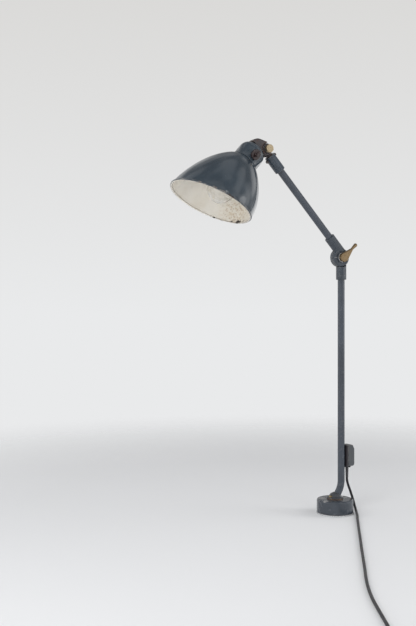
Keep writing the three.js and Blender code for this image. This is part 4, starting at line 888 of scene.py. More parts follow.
@dataclass(frozen=True)
class ClearGlass(Look):
    """Thin clear glass with a little dust, its pale colour more opaque where it turns away, as a painted
    reflection.
    """

    def make(self, g: Graph) -> bpy.types.Material:
        """Builds the nodes."""
        where = g.place()
        dust, fine = g.noise(where, 0.012, 4), g.noise(where, 0.0015, 4)
        facing = g.node("LayerWeight", {}, {"Blend": 0.35}, "Facing")
        # Painted reflection: the pale colour grows opaque towards the outline, with the dust patches added on top.
        dust_and_reflection_opacity = 0.16 + facing * 0.5 + g.step(dust + (fine - 0.5) * 0.4, 0.5, 0.8) * 0.12
        colour = g.mix(g.step(dust, 0.4, 0.8), tone(238, 236, 230), tone(214, 206, 190))
        signals = {"Base Color": colour, "Alpha": dust_and_reflection_opacity, "Roughness": 0.05 + dust * 0.1}
        signals["Normal"] = g.bump(g.noise(where, 0.02, 2), 0.0001)
        return g.done({"IOR": 1.45, "Metallic": 0.0, "Coat Weight": 0.6}, signals)


SHADE_ENAMEL = Enamel(
    "shade_enamel",
    "greyEnamel",
    chips=(
        ((-0.2348, 0.0239, 0.6328), 0.0052),
        ((-0.2325, 0.0175, 0.6322), 0.0038),
        ((-0.2290, 0.0080, 0.6330), 0.0028),
        ((-0.2400, 0.0390, 0.6350), 0.0026),
        ((-0.2657, 0.0702, 0.6452), 0.0024),
        ((-0.3184, -0.0889, 0.6689), 0.0045),
        ((-0.3120, -0.0898, 0.6655), 0.0034),
    ),
    spotted=((-0.2301, 0.0386, 0.6520), 0.048),
)
CAP_ENAMEL = Enamel("cap_enamel", "greyEnamel")
ARM_PAINT = Paint("arm_paint", "armPaint", marks=(((0.0075, -0.0070, 0.0683), 0.0034),))
ELBOW_PAINT = Paint(
    "elbow_paint",
    "armPaint",
    coat=tone(52, 59, 67),
    ground=tone(140, 144, 148),
    wear=0.3,
    # A row of small pale spots across the knuckles' left side at the pivot's height, drawn as a short light line.
    marks=tuple(((-0.0150 + 0.0022 * k, -0.0093, 0.5635), 0.0013) for k in range(7)),
)
SLEEVE_PAINT = Paint("sleeve_paint", "armPaint", coat=tone(52, 61, 71), gloss=0.2)
BASE_PAINT = Paint(
    "base_paint",
    "basePaint",
    coat=tone(60, 66, 74),
    ground=tone(150, 152, 156),
    gloss=0.2,
    wear=0.5,
    rusty=0.0,
    marks=(
        ((-0.0224, 0.0177, 0.0320), 0.0080),
        ((0.0025, -0.0184, 0.0320), 0.0070),
        ((-0.0330, -0.0120, 0.0315), 0.0060),
        ((0.0257, -0.0021, 0.0320), 0.0050),
    ),
)
BOX_PAINT = Paint(
    "box_paint", "boxPaint", coat=tone(66, 69, 73), ground=tone(110, 112, 116), gloss=0.4, wear=0.36
)
CAST_IRON = Paint(
    "cast_iron",
    "darkIron",
    coat=tone(58, 61, 66),
    ground=tone(108, 110, 112),
    metal=tone(136, 132, 124),
    gloss=0.38,
    wear=0.46,
    rusty=0.04,
    grain=0.00022,
)
DARK_JOINT = Paint(
    "dark_joint", "darkIron", coat=tone(50, 46, 48), ground=tone(84, 76, 74), gloss=0.4, wear=0.38, rusty=0.12
)
BRASS = Metal("aged_brass", "brass", tone(186, 164, 120), tone(128, 106, 74), tone(92, 70, 48))
KNOB_BRASS = Metal(
    "knob_brass", "brass", tone(182, 166, 138), tone(140, 124, 98), tone(104, 88, 68), 0.42, 0.4
)
LEVER_BRASS = Metal(
    "lever_brass", "brass", tone(136, 116, 88), tone(104, 86, 62), tone(76, 60, 46), 0.34, 0.4, 0.85
)
STEEL = Metal("dull_steel", "steel", tone(176, 178, 180), tone(120, 120, 122))
PALE_STEEL = Metal(
    "pale_steel", "steel", tone(226, 228, 230), tone(196, 198, 200), tone(150, 146, 142), 0.28, 0.12
)
PHENOLIC = Moulded("phenolic", "bakelite")
RUBBER = Moulded("rubber", "rubber", tone(34, 33, 36), tone(48, 47, 50), 0.62, 0.003, 0.00006, 0.0)
BLACK_PHENOLIC = Moulded(
    "black_phenolic", "bakelite", tone(38, 36, 40), tone(52, 48, 52), 0.34, 0.004, 0.00003, 0.2
)
KEY_PHENOLIC = Moulded(
    "key_phenolic", "bakelite", tone(40, 24, 24), tone(28, 20, 22), 0.3, 0.004, 0.00003, 0.3
)
FIBRE = Moulded("fibre", "fibre", tone(74, 52, 40), tone(96, 70, 52), 0.8, 0.002, 0.00006, 0.0)
PORCELAIN = Moulded(
    "porcelain", "porcelain", tone(222, 216, 202), tone(206, 198, 180), 0.22, 0.02, 0.00002, 0.4
)
STEM_GLASS = Moulded(
    "stem_glass", "glass", tone(206, 208, 204), tone(184, 186, 184), 0.12, 0.01, 0.00002, 0.5
)
FILAMENT_WIRE = Metal(
    "filament_wire", "steel", tone(120, 118, 116), tone(80, 78, 78), tone(60, 58, 58), 0.4, 0.4
)
COTTON_BRAID = Braid("cotton_braid", "braid")
BULB_GLASS = ClearGlass("bulb_glass", "glass")


class SlotLook(Enum):
    """The finish that a frame node shows where no piece replaces it, by its record slot."""

    greyEnamel = CAP_ENAMEL
    armPaint = ARM_PAINT
    basePaint = BASE_PAINT
    boxPaint = BOX_PAINT
    darkIron = DARK_JOINT
    brass = BRASS
    steel = STEEL
    bakelite = PHENOLIC
    fibre = FIBRE
    porcelain = PORCELAIN
    glass = STEM_GLASS
    rubber = RUBBER
    braid = COTTON_BRAID


# ---- Base and foot --------------------------------------------------------------------------


@dataclass(frozen=True)
class BenchBase:
    """The round flange, its bottom plate and the pin in its top."""

    radius: float = 40 * MM
    height: float = 32 * MM
    wall_radius: float = 31 * MM
    bore: float = 9.3 * MM
    top: float = 5 * MM
    edge: float = 4 * MM
    bottom: float = 3.3 * MM
    lip_radius: float = 41.7 * MM

    def flange(self) -> Surface:
        """The flange: a wall and a top turned about Z, its radius a tenth of a millimetre uneven."""
        ceiling = self.height - self.top
        corners = [
            (self.wall_radius, self.bottom),
            (self.radius, self.bottom),
            (self.radius, self.height),
            (self.bore, self.height),
            (self.bore, ceiling),
            (self.wall_radius, ceiling),
        ]
        radii = np.array([0.4, 0.7, self.edge / MM, 0.5, 0.4, 1.5]) * MM
        profile = spaced(rounded(corners, radii, 10), 0.7 * MM, True)

        def uneven(angle: Array, line: Array) -> Array:
            """Three slow waves round the rim and one along its height."""
            slow = np.sin(3 * angle + 1) + 0.6 * np.sin(7 * angle) + 0.4 * np.sin(13 * angle + 2)
            return 0.05 * MM * slow * (line[:, :1] / self.radius)

        return turned(profile, Place(), 160, swell=uneven)

    def lip(self) -> Surface:
        """The rounded steel lip of the bottom plate."""
        inner = self.radius - 0.6 * MM
        corners = [(inner, 0.2 * MM), (self.lip_radius, 0.2 * MM), (self.lip_radius, 3 * MM), (inner, 3 * MM)]
        return turned(rounded(corners, 0.9 * MM, 8), Place(), 160)

    def build(self) -> None:
        """Makes the base's pieces."""
        finish_piece("flange_turned", joined("flange", [self.flange()]), BASE_PAINT, "base", ["base_flange"])
        finish_piece("plate_lip", joined("lip", [self.lip()]), PALE_STEEL, "base")
        worn("edge_pin", "worn", 0.25 * MM, 3, DARK_JOINT, "base")


@dataclass(frozen=True)
class Foot:
    """The lumpy turning casting and its screws."""

    voxel: float = 0.6 * MM
    lumps: float = 0.4 * MM
    screws: int = 3

    def build(self) -> None:
        """Makes the foot's pieces."""
        worn("turret", "cast", self.voxel, 8, CAST_IRON, "lower_arm", self.lumps)
        for number in range(1, self.screws + 1):
            node = f"turret_screw_{number}"
            look = BRASS if number == 1 else STEEL
            worn(node, "worn", 0.28 * MM, 3, look, "lower_arm")


# ---- Arms -----------------------------------------------------------------------------------


@dataclass(frozen=True)
class Arm:
    """Sizes that both arms share."""

    radius: float = 7.75 * MM
    sides: int = 72
    step: float = 2.5 * MM

    def tube(self, path: Array, place: Place) -> Surface:
        """A circle carried along a path in the arms' plane."""
        section = circle(self.radius, self.sides)
        return carried(spaced(path, self.step), section, np.array([0.0, 1.0, 0.0]), place)


@dataclass(frozen=True)
class LowerArm(Arm):
    """The upright tube, bent over the foot."""

    offset: float = 16.8 * MM
    aim: float = 32.7 * MM
    start: float = 36.5 * MM
    slant: float = 35.0
    bend: float = 49 * MM
    top: float = 536.7 * MM

    def path(self) -> Array:
        """Along the slanted foot, round the bend's circle and straight up."""
        slant = math.radians(self.slant)
        bend_x = self.offset - self.bend * (1 - math.cos(slant))
        bend_z = self.aim + bend_x / math.tan(slant)
        centre_z = bend_z + self.bend * math.sin(slant)
        angle = np.linspace(-slant, 0, 24)
        x = self.offset - self.bend + self.bend * np.cos(angle)
        z = centre_z + self.bend * np.sin(angle)
        first = [[(self.start - self.aim) * math.tan(slant), 0, self.start]]
        return np.vstack([first, np.stack([x, 0 * x, z], -1), [[self.offset, 0, self.top]]])

    def build(self) -> None:
        """Makes the tube."""
        tube = joined("lower_tube", [self.tube(self.path(), Place())])
        finish_piece("lower_tube_bent", tube, ARM_PAINT, "lower_arm", ["lower_tube"])


@dataclass(frozen=True)
class UpperArm(Arm):
    """The leaning tube and the sleeve that holds the head's shank."""

    lean: float = -43.18
    offset: float = 9.7 * MM
    low: float = 27.3 * MM
    high: float = 257.7 * MM
    sleeve: tuple[float, float] = (238 * MM, 278 * MM)
    sleeve_radius: float = 11.5 * MM

    def build(self) -> None:
        """Makes the tube, the sleeve and its screws."""
        place = leaning(joint_place("elbow"), self.lean).moved(self.offset, 0, 0)
        tube = self.tube(np.array([[0, 0, self.low], [0, 0, self.high]]), place)
        finish_piece("upper_tube_drawn", joined("upper_tube", [tube]), ARM_PAINT, "upper_arm", ["upper_tube"])
        low, high = self.sleeve
        corners = [(8 * MM, low), (self.sleeve_radius, low), (self.sleeve_radius, high), (7.8 * MM, high)]
        profile = rounded(corners, np.array([0.3, 1.1, 1.1, 0.4]) * MM, 8)
        sleeve = turned(spaced(profile, 0.8 * MM, True), place, 96)
        mesh = joined("head_sleeve", [sleeve])
        finish_piece("head_sleeve_turned", mesh, SLEEVE_PAINT, "upper_arm", ["head_sleeve"])
        for node in ("sleeve_screw_1", "sleeve_screw_2"):
            worn(node, "worn", 0.28 * MM, 3, DARK_JOINT, "upper_arm")


@dataclass(frozen=True)
class Elbow:
    """The lapped knuckles, their washer, bolt and lever."""

    voxel: float = 0.5 * MM
    bolt: float = 4.3 * MM
    washer: tuple[float, float, float] = (10.5 * MM, 9.8 * MM, 11.6 * MM)
    lever_angle: float = 41.7
    lever: tuple[float, float] = (11.9 * MM, 20.9 * MM)
    hub: float = 10.3 * MM
    neck: float = 2.6 * MM
    reach: float = 26 * MM
    tip: float = 4.2 * MM
    length: float = 45.5 * MM

    def drop(self) -> Array:
        """The drop's outline: two circles of different size and the lines that touch both."""
        lap = math.acos((self.hub - self.neck) / self.reach)
        big = np.linspace(lap, 2 * math.pi - lap, 64)
        small = np.linspace(-lap, lap, 24)
        hub = self.hub * np.stack([np.cos(big), np.sin(big)], -1)
        neck = self.neck * np.stack([np.cos(small), np.sin(small)], -1) + [self.reach, 0]
        return spaced(np.vstack([hub, neck]), 0.5 * MM, True)

    def handle(self, place: Place) -> Surface:
        """The handle: a thin waist that swells to a rounded tip, turned about the lever's length."""
        end = self.length - self.tip
        quarter = np.linspace(0, math.pi / 2, 12)
        ball = np.stack([self.tip * np.cos(quarter), end + self.tip * np.sin(quarter)], -1)
        waist = np.array([[0, 14], [2.5, 14], [2.5, 25], [2.8, 28], [3.5, 35]]) * MM
        middle = place.moved(0, -(self.lever[0] + self.lever[1]) / 2, 0).to_side()
        return turned(np.vstack([waist, ball]), middle, 48, closed=False)

    def build(self) -> None:
        """Makes the elbow's pieces."""
        for node, body in (("elbow_lower_socket", "lower_arm"), ("elbow_upper_socket", "upper_arm")):
            worn(node, "cast", self.voxel, 7, ELBOW_PAINT, body)
        for node, body in (("lower_socket_screw", "lower_arm"), ("upper_socket_screw", "upper_arm")):
            worn(node, "worn", 0.25 * MM, 2, STEEL, body)
        worn("elbow_bolt", "worn", 0.35 * MM, 3, STEEL, "lower_arm")
        pivot = joint_place("elbow")
        radius, back, front = self.washer
        corners = [(self.bolt, back), (radius, back), (radius, front), (self.bolt, front)]
        washer = turned(rounded(corners, 0.5 * MM, 6), Place(pivot).to_front(), 96)
        mesh = joined("washer", [washer])
        finish_piece("elbow_washer_turned", mesh, PALE_STEEL, "upper_arm", ["elbow_washer"])
        place = leaning(pivot, -self.lever_angle)
        drop = pad(self.drop(), *self.lever, 2.2 * MM, place.to_front(), 8)
        lever = joined("lever", [drop, self.handle(place)])
        finish_piece("clamp_lever_cast", lever, LEVER_BRASS, "lever", ["clamp_lever"])


# ---- Switch box -----------------------------------------------------------------------------


@dataclass(frozen=True)
class SwitchBox:
    """The box on the upright with its push button and the lead's rubber sleeve."""

    exit: tuple[float, float] = (32.6 * MM, 0.0)
    tip: float = 77 * MM
    neck: float = 98.5 * MM
    inside: float = 104.3 * MM

    def gland(self) -> Surface:
        """A tapered sleeve with six rings cut into it, turned about the lead."""
        height = np.linspace(self.tip, self.neck, 120)
        taper = 3.1 * MM + 0.5 * MM * (height - self.tip) / (self.neck - self.tip)
        rings = 0.28 * MM * (np.cos((height - self.tip) / (self.neck - self.tip) * 12 * np.pi) - 1) / 2
        side = np.stack([taper + rings, height], -1)
        ends = np.array([[0, self.tip]]), np.array([[3.6 * MM, self.inside], [0, self.inside]])
        profile = np.vstack([ends[0], side, ends[1]])
        return turned(profile, Place((*self.exit, 0)), 48, closed=False)

    def build(self) -> None:
        """Makes the box's pieces."""
        body = "lower_arm"
        worn("switch_cover", "pressed", 0.5 * MM, 3, BOX_PAINT, body)
        worn("switch_back_plate", "moulded", 0.45 * MM, 3, BLACK_PHENOLIC, body)
        finish_piece("cord_gland_moulded", joined("gland", [self.gland()]), RUBBER, body, ["cord_gland"])
        worn("cover_screw", "worn", 0.22 * MM, 3, STEEL, body)
        worn("switch_button", "moulded", 0.25 * MM, 4, RUBBER, "button")


# ---- Head -----------------------------------------------------------------------------------


@dataclass(frozen=True)
class HeadJoint:
    """The shank, the ear on the cap, their bolt, collar and knob."""

    bolt: float = 4.3 * MM
    collar: tuple[float, float, float] = (9.4 * MM, 10.8 * MM, 13.4 * MM)
    knob: tuple[float, float, float] = (8.6 * MM, 13.7 * MM, 21.7 * MM)

    def build(self) -> None:
        """Makes the joint's pieces."""
        worn("stem_knuckle", "cast", 0.45 * MM, 6, DARK_JOINT, "swivel")
        worn("head_bolt", "worn", 0.35 * MM, 3, STEEL, "swivel")
        worn("cap_ear", "cast", 0.6 * MM, 10, DARK_JOINT, "head")
        place = Place(joint_place("head_tilt")).to_front()
        radius, back, front = self.collar
        corners = [(self.bolt, back), (radius, back), (radius, front), (self.bolt, front)]
        collar = turned(rounded(corners, 0.7 * MM, 6), place, 64)
        finish_piece("head_collar_moulded", joined("collar", [collar]), RUBBER, "swivel", ["head_collar"])
        radius, back, front = self.knob
        dish = front - 0.5 * MM
        lip, hollow = 0.72 * radius, 0.66 * radius
        line = [(0, back), (radius, back), (radius, front), (lip, front), (hollow, dish), (0, dish)]
        profile = rounded(line, np.array([0, 1.2, 1.5, 0.5, 0.5, 0]) * MM, 8, closed=False)
        knob = turned(profile, place, 80, closed=False)
        finish_piece("head_knob_turned", joined("knob", [knob]), KNOB_BRASS, "knob", ["head_knob"])


@dataclass(frozen=True)
class Head:
    """The cap, its key plate, the shade and the lampholder; the bulb is made on its own."""

    tilt: float = 42.0
    pivot: tuple[float, float] = (17.7 * MM, 57.8 * MM)
    cap_radius: float = 29 * MM
    cap_height: float = 44.8 * MM
    cap_shoulder: float = 20 * MM
    cap_wall: float = 1.6 * MM
    rim_radius: float = 90 * MM
    depth: float = 115.5 * MM
    wall: float = 1.3 * MM
    bead: float = 1.9 * MM
    rim_tilt: float = 15.8
    crown: float = 1.62
    shoulder: float = 0.8
    hole: float = 16.3 * MM
    bead_out: float = 0.7 * MM

    def place(self) -> Place:
        """The cap's own place: its axis through the middle of its lower edge."""
        return leaning(joint_place("head_tilt"), self.tilt).moved(-self.pivot[0], 0, -self.pivot[1])

    def cap(self) -> Surface:
        """The domed cap: a straight wall with a bead at its foot and a shoulder that is a quarter
        circle, outside and inside."""
        centre = self.cap_radius - self.cap_shoulder
        level = self.cap_height - self.cap_shoulder
        angle = np.linspace(0, np.pi / 2, 24)
        around = np.stack([np.cos(angle), np.sin(angle)], -1)
        outer = [centre, level] + self.cap_shoulder * around
        inner = ([centre, level] + (self.cap_shoulder - self.cap_wall) * around)[::-1]
        bead = self.cap_radius + self.bead_out * np.sin(np.linspace(0, np.pi, 9))
        foot = np.stack([bead, np.linspace(0.3, 2.6, 9) * MM], -1)
        hole = np.array([[5.2 * MM, self.cap_height], [5.2 * MM, self.cap_height - self.cap_wall]])
        end = np.array([[self.cap_radius - self.cap_wall, 0.3 * MM]])
        return turned(np.vstack([end, foot, outer, hole, inner]), self.place(), 144)

    def bell(self, depth: Array, inset: float) -> Array:
        """The bell's radius: from the cap's to the rim's along a quarter of a rounded square."""
        share = np.clip(depth / self.depth, 0, 1)
        spread = self.rim_radius - self.bead - self.cap_radius
        return self.cap_radius + spread * (1 - (1 - share) ** self.crown) ** self.shoulder - inset

    def shade(self) -> Surface:
        """The bell: rings on the cap's axis whose planes tip over in proportion to their depth,
        outside and inside, joined by a rolled bead at the rim."""
        low = 0.3 * MM
        depth = self.depth * np.linspace(0, 1, 64) ** 1.8
        outer = np.stack([self.bell(depth, 0), -depth - low], -1)
        drop = low + self.wall * (1 - depth / self.depth)
        inner = np.stack([self.bell(depth, self.wall), -depth - drop], -1)
        angle = np.radians(np.linspace(80, -190, 20))
        middle = np.array([self.rim_radius - self.bead, -self.depth])
        bead = middle + self.bead * np.stack([np.cos(angle), np.sin(angle)], -1)
        flange = np.array([[self.hole, -low - self.wall], [self.hole, -low]])
        profile = np.vstack([outer, bead, inner[::-1], flange])
        lining = np.concatenate([np.zeros(64), np.linspace(0, 1, 20) > 0.62, np.ones(64), [1.0, 0.0]])
        away = np.concatenate([self.depth - depth, np.zeros(20), (self.depth - depth)[::-1], [0.1, 0.1]])
        rim = np.clip(1 - away / (9 * MM), 0, 1)
        bell = turned(profile, Place(), 224, marks={"lining": lining.astype(float), "rim": rim})
        x, z = bell.points[..., 0].copy(), bell.points[..., 2].copy()
        tip = np.radians(self.rim_tilt * np.maximum(-z - low, 0) / self.depth)
        bell.points[..., 0] = x * np.cos(tip)
        bell.points[..., 2] = z + x * np.sin(tip)
        bell.points = self.place().put(bell.points)
        return bell

    def ring(self, inner: float, outer: float, low: float, high: float, knurl: float) -> Surface:
        """A ring with rounded corners whose outside is knurled by a fine wave round it."""
        corners = [(inner, low), (outer, low), (outer, high), (inner, high)]
        profile = rounded(corners, 0.5 * MM, 6)

        def wave(angle: Array, line: Array) -> Array:
            """Forty-eight ridges on the outer face only."""
            return knurl * np.cos(48 * angle) * (line[:, :1] > outer - 0.3 * MM)

        return turned(profile, self.place(), 288, swell=wave)

    def build(self) -> None:
        """Makes the head's pieces."""
        finish_piece("cap_enamelled", joined("cap", [self.cap()]), CAP_ENAMEL, "head", ["cap"])
        finish_piece("shade_enamelled", joined("shade", [self.shade()]), SHADE_ENAMEL, "head", ["shade"])
        worn("escutcheon", "moulded", 0.35 * MM, 4, KEY_PHENOLIC, "head")
        worn("switch_key", "moulded", 0.28 * MM, 5, KEY_PHENOLIC, "key")
        ring = self.ring(16.3 * MM, 22 * MM, -6.4 * MM, -1.9 * MM, 0.25 * MM)
        finish_piece("shade_ring_knurled", joined("ring", [ring]), BRASS, "head", ["shade_ring"])
        skirt = self.ring(14.1 * MM, 16 * MM, -14 * MM, 16.3 * MM, 0.0)
        finish_piece("lampholder_skirt_drawn", joined("skirt", [skirt]), BRASS, "head", ["lampholder_skirt"])


@dataclass(frozen=True)
class Bulb:
    """A clear bulb with a threaded cap, a glass stem and a filament."""

    top: float = -11.0 * MM
    length: float = 98 * MM
    radius: float = 29.5 * MM
    neck: float = 12.6 * MM
    wall: float = 0.9 * MM
    cap: tuple[float, float, float] = (13.1 * MM, -10.7 * MM, 16.3 * MM)
    pitch: float = 3.6 * MM

    def glass(self, place: Place) -> Surface:
        """A neck that swells along half a cosine wave into a ball, outside and inside."""
        t = np.linspace(0, 1, 40)[:, None]

        def line(inset: float) -> Array:
            """One face's profile from the neck to the tip."""
            ball, neck = self.radius - inset, self.neck - inset
            centre = self.top - self.length + self.radius
            width = neck + (ball - neck) * (1 - np.cos(np.pi * t)) / 2
            swell = np.hstack([width, self.top + (centre - self.top) * t])
            angle = -np.pi / 2 * t
            return np.vstack([swell[:-1], np.hstack([ball * np.cos(angle), centre + ball * np.sin(angle)])])

        return turned(np.vstack([line(0.0), line(self.wall)[::-1]]), place, 96)

    def screw_cap(self, place: Place) -> Surface:
        """A cap whose radius swells with a sine of its height less its share of a turn: a thread."""
        radius, low, high = self.cap
        height = np.linspace(low, high - 6 * MM, 90)
        wall = np.stack([np.full(90, radius - 0.6 * MM), height], -1)
        ends = np.array([[0, low]]), np.array([[6 * MM, high - 3 * MM], [4.5 * MM, high], [0, high]])

        def thread(angle: Array, line: Array) -> Array:
            """The thread, faded out at both ends."""
            fade = (line[:, 1:2] > low + 3 * MM) * (line[:, 1:2] < high - 7 * MM) * (line[:, :1] > 0.01)
            return 0.45 * MM * fade * np.sin(2 * np.pi * line[:, 1:2] / self.pitch - angle)

        return turned(np.vstack([ends[0], wall, ends[1]]), place, 72, closed=False, swell=thread)

    def filament(self, place: Place) -> list[Surface]:
        """Two legs from the stem and a wire that zigzags between them on a half circle."""
        foot, wide, drop = self.top - 32 * MM, 9 * MM, self.top - 50 * MM
        turn = np.linspace(-1, 1, 60)
        zigzag = 2.2 * MM * np.sin(np.linspace(0, 14 * np.pi, 60))
        wire = np.stack([wide * np.sin(turn * 1.4), -5 * MM * np.cos(turn * 1.4), drop + zigzag], -1)
        legs = [
            np.array([[s * 1.5 * MM, 0, foot], [s * 5 * MM, 0, foot - 8 * MM], wire[k]])
            for s, k in ((-1, 0), (1, -1))
        ]
        across = np.array([0.0, 1.0, 0.0])
        made = [carried(spaced(leg, 1 * MM), circle(0.35 * MM, 10), across, place=place) for leg in legs]
        return [*made, carried(spaced(wire, 0.4 * MM), circle(0.16 * MM, 8), across, place=place)]

    def build(self) -> None:
        """Makes the bulb's pieces."""
        place = Head().place()
        glass = joined("bulb", [self.glass(place)])
        finish_piece("bulb_glass_blown", glass, BULB_GLASS, "head", ["bulb_glass"])
        cap = joined("lamp_cap", [self.screw_cap(place)])
        finish_piece("lamp_cap_threaded", cap, STEEL, "head", ["lamp_cap"])
        worn("bulb_stem", "pressed", 0.35 * MM, 5, STEM_GLASS, "head")
        finish_piece("filament", joined("filament", self.filament(place)), FILAMENT_WIRE, "head")


# ---- Lead -----------------------------------------------------------------------------------


@dataclass(frozen=True)
class Lead:
    """The braided lead: down from the box, over the floor, wound in two layers, and its plug."""

    diameter: float = 5.4 * MM
    centre: tuple[float, float] = (-412.2 * MM, -639.3 * MM)
    first_angle: float = -27.9
    sweep: float = 1890.0
    radii: tuple[float, float, float] = (24.5 * MM, 30 * MM, 35.5 * MM)
    levels: tuple[float, float] = (4.1 * MM, 9.7 * MM)
    plug_height: float = 13.2 * MM

    def drop(self) -> Array:
        """The stations from the gland to the coil, given one by one."""
        return MM * np.array(
            [
                [32.6, 0, 77.7],
                [32.8, -0.1, 70],
                [34.6, -1, 61],
                [37.9, -2.9, 50],
                [41.1, -5.3, 38],
                [43.5, -8.2, 26],
                [43.8, -13.2, 14.5],
                [40.7, -21.5, 6.9],
                [34.6, -32, 3.4],
                [25.7, -45.4, 2.8],
                [4.5, -73.7, 2.8],
                [-34.4, -126.7, 2.8],
                [-78.9, -188, 2.8],
                [-128.9, -256.5, 2.8],
                [-167.8, -310.6, 2.8],
                [-202.6, -358.9, 2.8],
                [-236, -404.6, 2.8],
                [-265.7, -447.7, 2.8],
                [-293.6, -492.9, 2.8],
                [-319.9, -541.2, 2.8],
                [-345.5, -589.4, 2.8],
                [-358, -613, 2.8],
                [-371.2, -637.7, 2.8],
            ]
        )

    def tail(self) -> Array:
        """The stations from the coil to the plug."""
        return MM * np.array(
            [
                [-447.2, -660.8, 9.8],
                [-456, -656.1, 10.6],
                [-465, -651.4, 11.9],
                [-474, -646.6, 12.9],
                [-483, -641.8, 13.2],
            ]
        )

    def coil(self) -> Array:
        """The turns: the radius keeps to one of three values and passes smoothly to the next in a
        sixth of a turn, and the height climbs one diameter while the radius is smallest."""
        swept = np.arange(6.0, self.sweep - 3, 8.0)

        def ease(start: float, end: float) -> Array:
            """A share that rises smoothly between two amounts of turn."""
            t = np.clip((swept - start) / (end - start), 0, 1)
            return t * t * (3 - 2 * t)

        small, middle, large = self.radii
        inward = (middle - large) * ease(300, 360) + (small - middle) * ease(660, 720)
        outward = (middle - small) * ease(1140, 1200) + (large - middle) * ease(1500, 1560)
        radius = large + inward + outward
        height = self.levels[0] + (self.levels[1] - self.levels[0]) * ease(800, 1060)
        angle = np.radians(self.first_angle - swept)
        x = self.centre[0] + radius * np.cos(angle)
        y = self.centre[1] + radius * np.sin(angle)
        return np.stack([x, y, height], -1)

    def path(self) -> Array:
        """The whole lead's line."""
        return smooth_line(np.vstack([self.drop(), self.coil(), self.tail()]), 1.6 * MM)

    def surface(self, path: Array) -> Surface:
        """The lead: a circle carried with its side direction level, across the way it heads."""
        tangent = np.gradient(path, axis=0)
        tangent /= np.linalg.norm(tangent, axis=1, keepdims=True)
        heading = tangent[:, :2] + 0.02 * np.array([0.3, -0.95]) * np.abs(tangent[:, 2:])
        side = np.stack([-heading[:, 1], heading[:, 0], 0 * heading[:, 0]], -1)
        side -= tangent * (side * tangent).sum(1, keepdims=True)
        side /= np.linalg.norm(side, axis=1, keepdims=True)
        return carried(path, circle(self.diameter / 2, 20), side)

    def plug(self, path: Array) -> tuple[Surface, list[Surface]]:
        """The plug, turned about the tail's heading, with a ribbed sleeve and flutes, and its pins."""
        heading = path[-1] - path[-6]
        degrees = math.atan2(heading[1], heading[0])
        c, s = math.cos(degrees), math.sin(degrees)
        place = Place((path[-1][0], path[-1][1], self.plug_height), ((0, 0, -1), (-s, c, 0), (c, s, 0)))
        sleeve = np.linspace(-0.6, 22, 90)
        ribs = 4.2 + 0.9 * sleeve / 22 + 0.35 * (np.cos(sleeve * 2 * np.pi / 3) - 1)
        shoulder = np.linspace(-60, 0, 10)
        dome = [(7 + 6 * math.cos(math.radians(a)), 28 + 6 * math.sin(math.radians(a))) for a in shoulder]
        body = rounded([(13, 28.2), (13, 44), (0, 44)], [0, 1.6, 0], 8, closed=False)
        line = np.vstack([[[0, -0.6]], np.stack([ribs, sleeve], -1), dome, spaced(body, 0.5)]) * MM

        def flutes(angle: Array, profile: Array) -> Array:
            """Twenty shallow hollows round the grip."""
            height = profile[:, 1:2]
            grip = np.clip((height - 29 * MM) / (2 * MM), 0, 1) * np.clip((42 * MM - height) / (2 * MM), 0, 1)
            return -0.45 * MM * grip * (profile[:, :1] > 12 * MM) * (0.5 + 0.5 * np.cos(20 * angle))

        body_surface = turned(line, place, 160, closed=False, swell=flutes)
        quarter = np.linspace(0, np.pi / 2, 8)
        tip = np.stack([2.4 * np.cos(quarter), 60.6 + 2.4 * np.sin(quarter)], -1)
        pin = np.vstack([[[0, 38], [2.4, 38]], tip]) * MM
        return body_surface, [turned(pin, place.moved(0, k * 9.5 * MM, 0), 40, closed=False) for k in (-1, 1)]

    def build(self) -> None:
        """Makes the lead, its tie, its plug and its pins."""
        path = self.path()
        body, pins = self.plug(path)
        lead, ride = joined("lead", [self.surface(path)]), "lower_arm"
        cord = finish_piece("lead_braided", lead, COTTON_BRAID, ride, ["cord", "cord_coil", "cord_tail"])
        plug = finish_piece("plug_moulded", joined("plug", [body]), BLACK_PHENOLIC, ride, ["plug_body"])
        nodes = ["plug_pin_1", "plug_pin_2"]
        ends = [
            finish_piece(node + "_turned", joined(node, [pin]), BRASS, ride, [node])
            for node, pin in zip(nodes, pins)
        ]
        tie = worn("coil_tie", "strap", 0.35 * MM, 3, RUBBER, ride)


# ---- Studio ---------------------------------------------------------------------------------


@dataclass(frozen=True)
class Lamp:
    """One soft area light."""

    name: str
    at: tuple[float, float, float]
    aim: tuple[float, float, float]
    size: float
    power: float
    glint: bool = True

    def build(self) -> None:
        """Makes the light, facing its aim."""
        light = bpy.data.lights.new(self.name, "AREA")
        light.shape, light.size, light.energy = "DISK", self.size, self.power
        lamp = bpy.data.objects.new(self.name, light)
        bpy.context.scene.collection.objects.link(lamp)
        away = np.array(self.aim) - np.array(self.at)
        away /= np.linalg.norm(away)
        lamp.visible_glossy = self.glint
        lamp.location = self.at
        lamp.rotation_euler = (math.acos(-away[2]), 0.0, math.atan2(away[1], away[0]) - math.pi / 2)


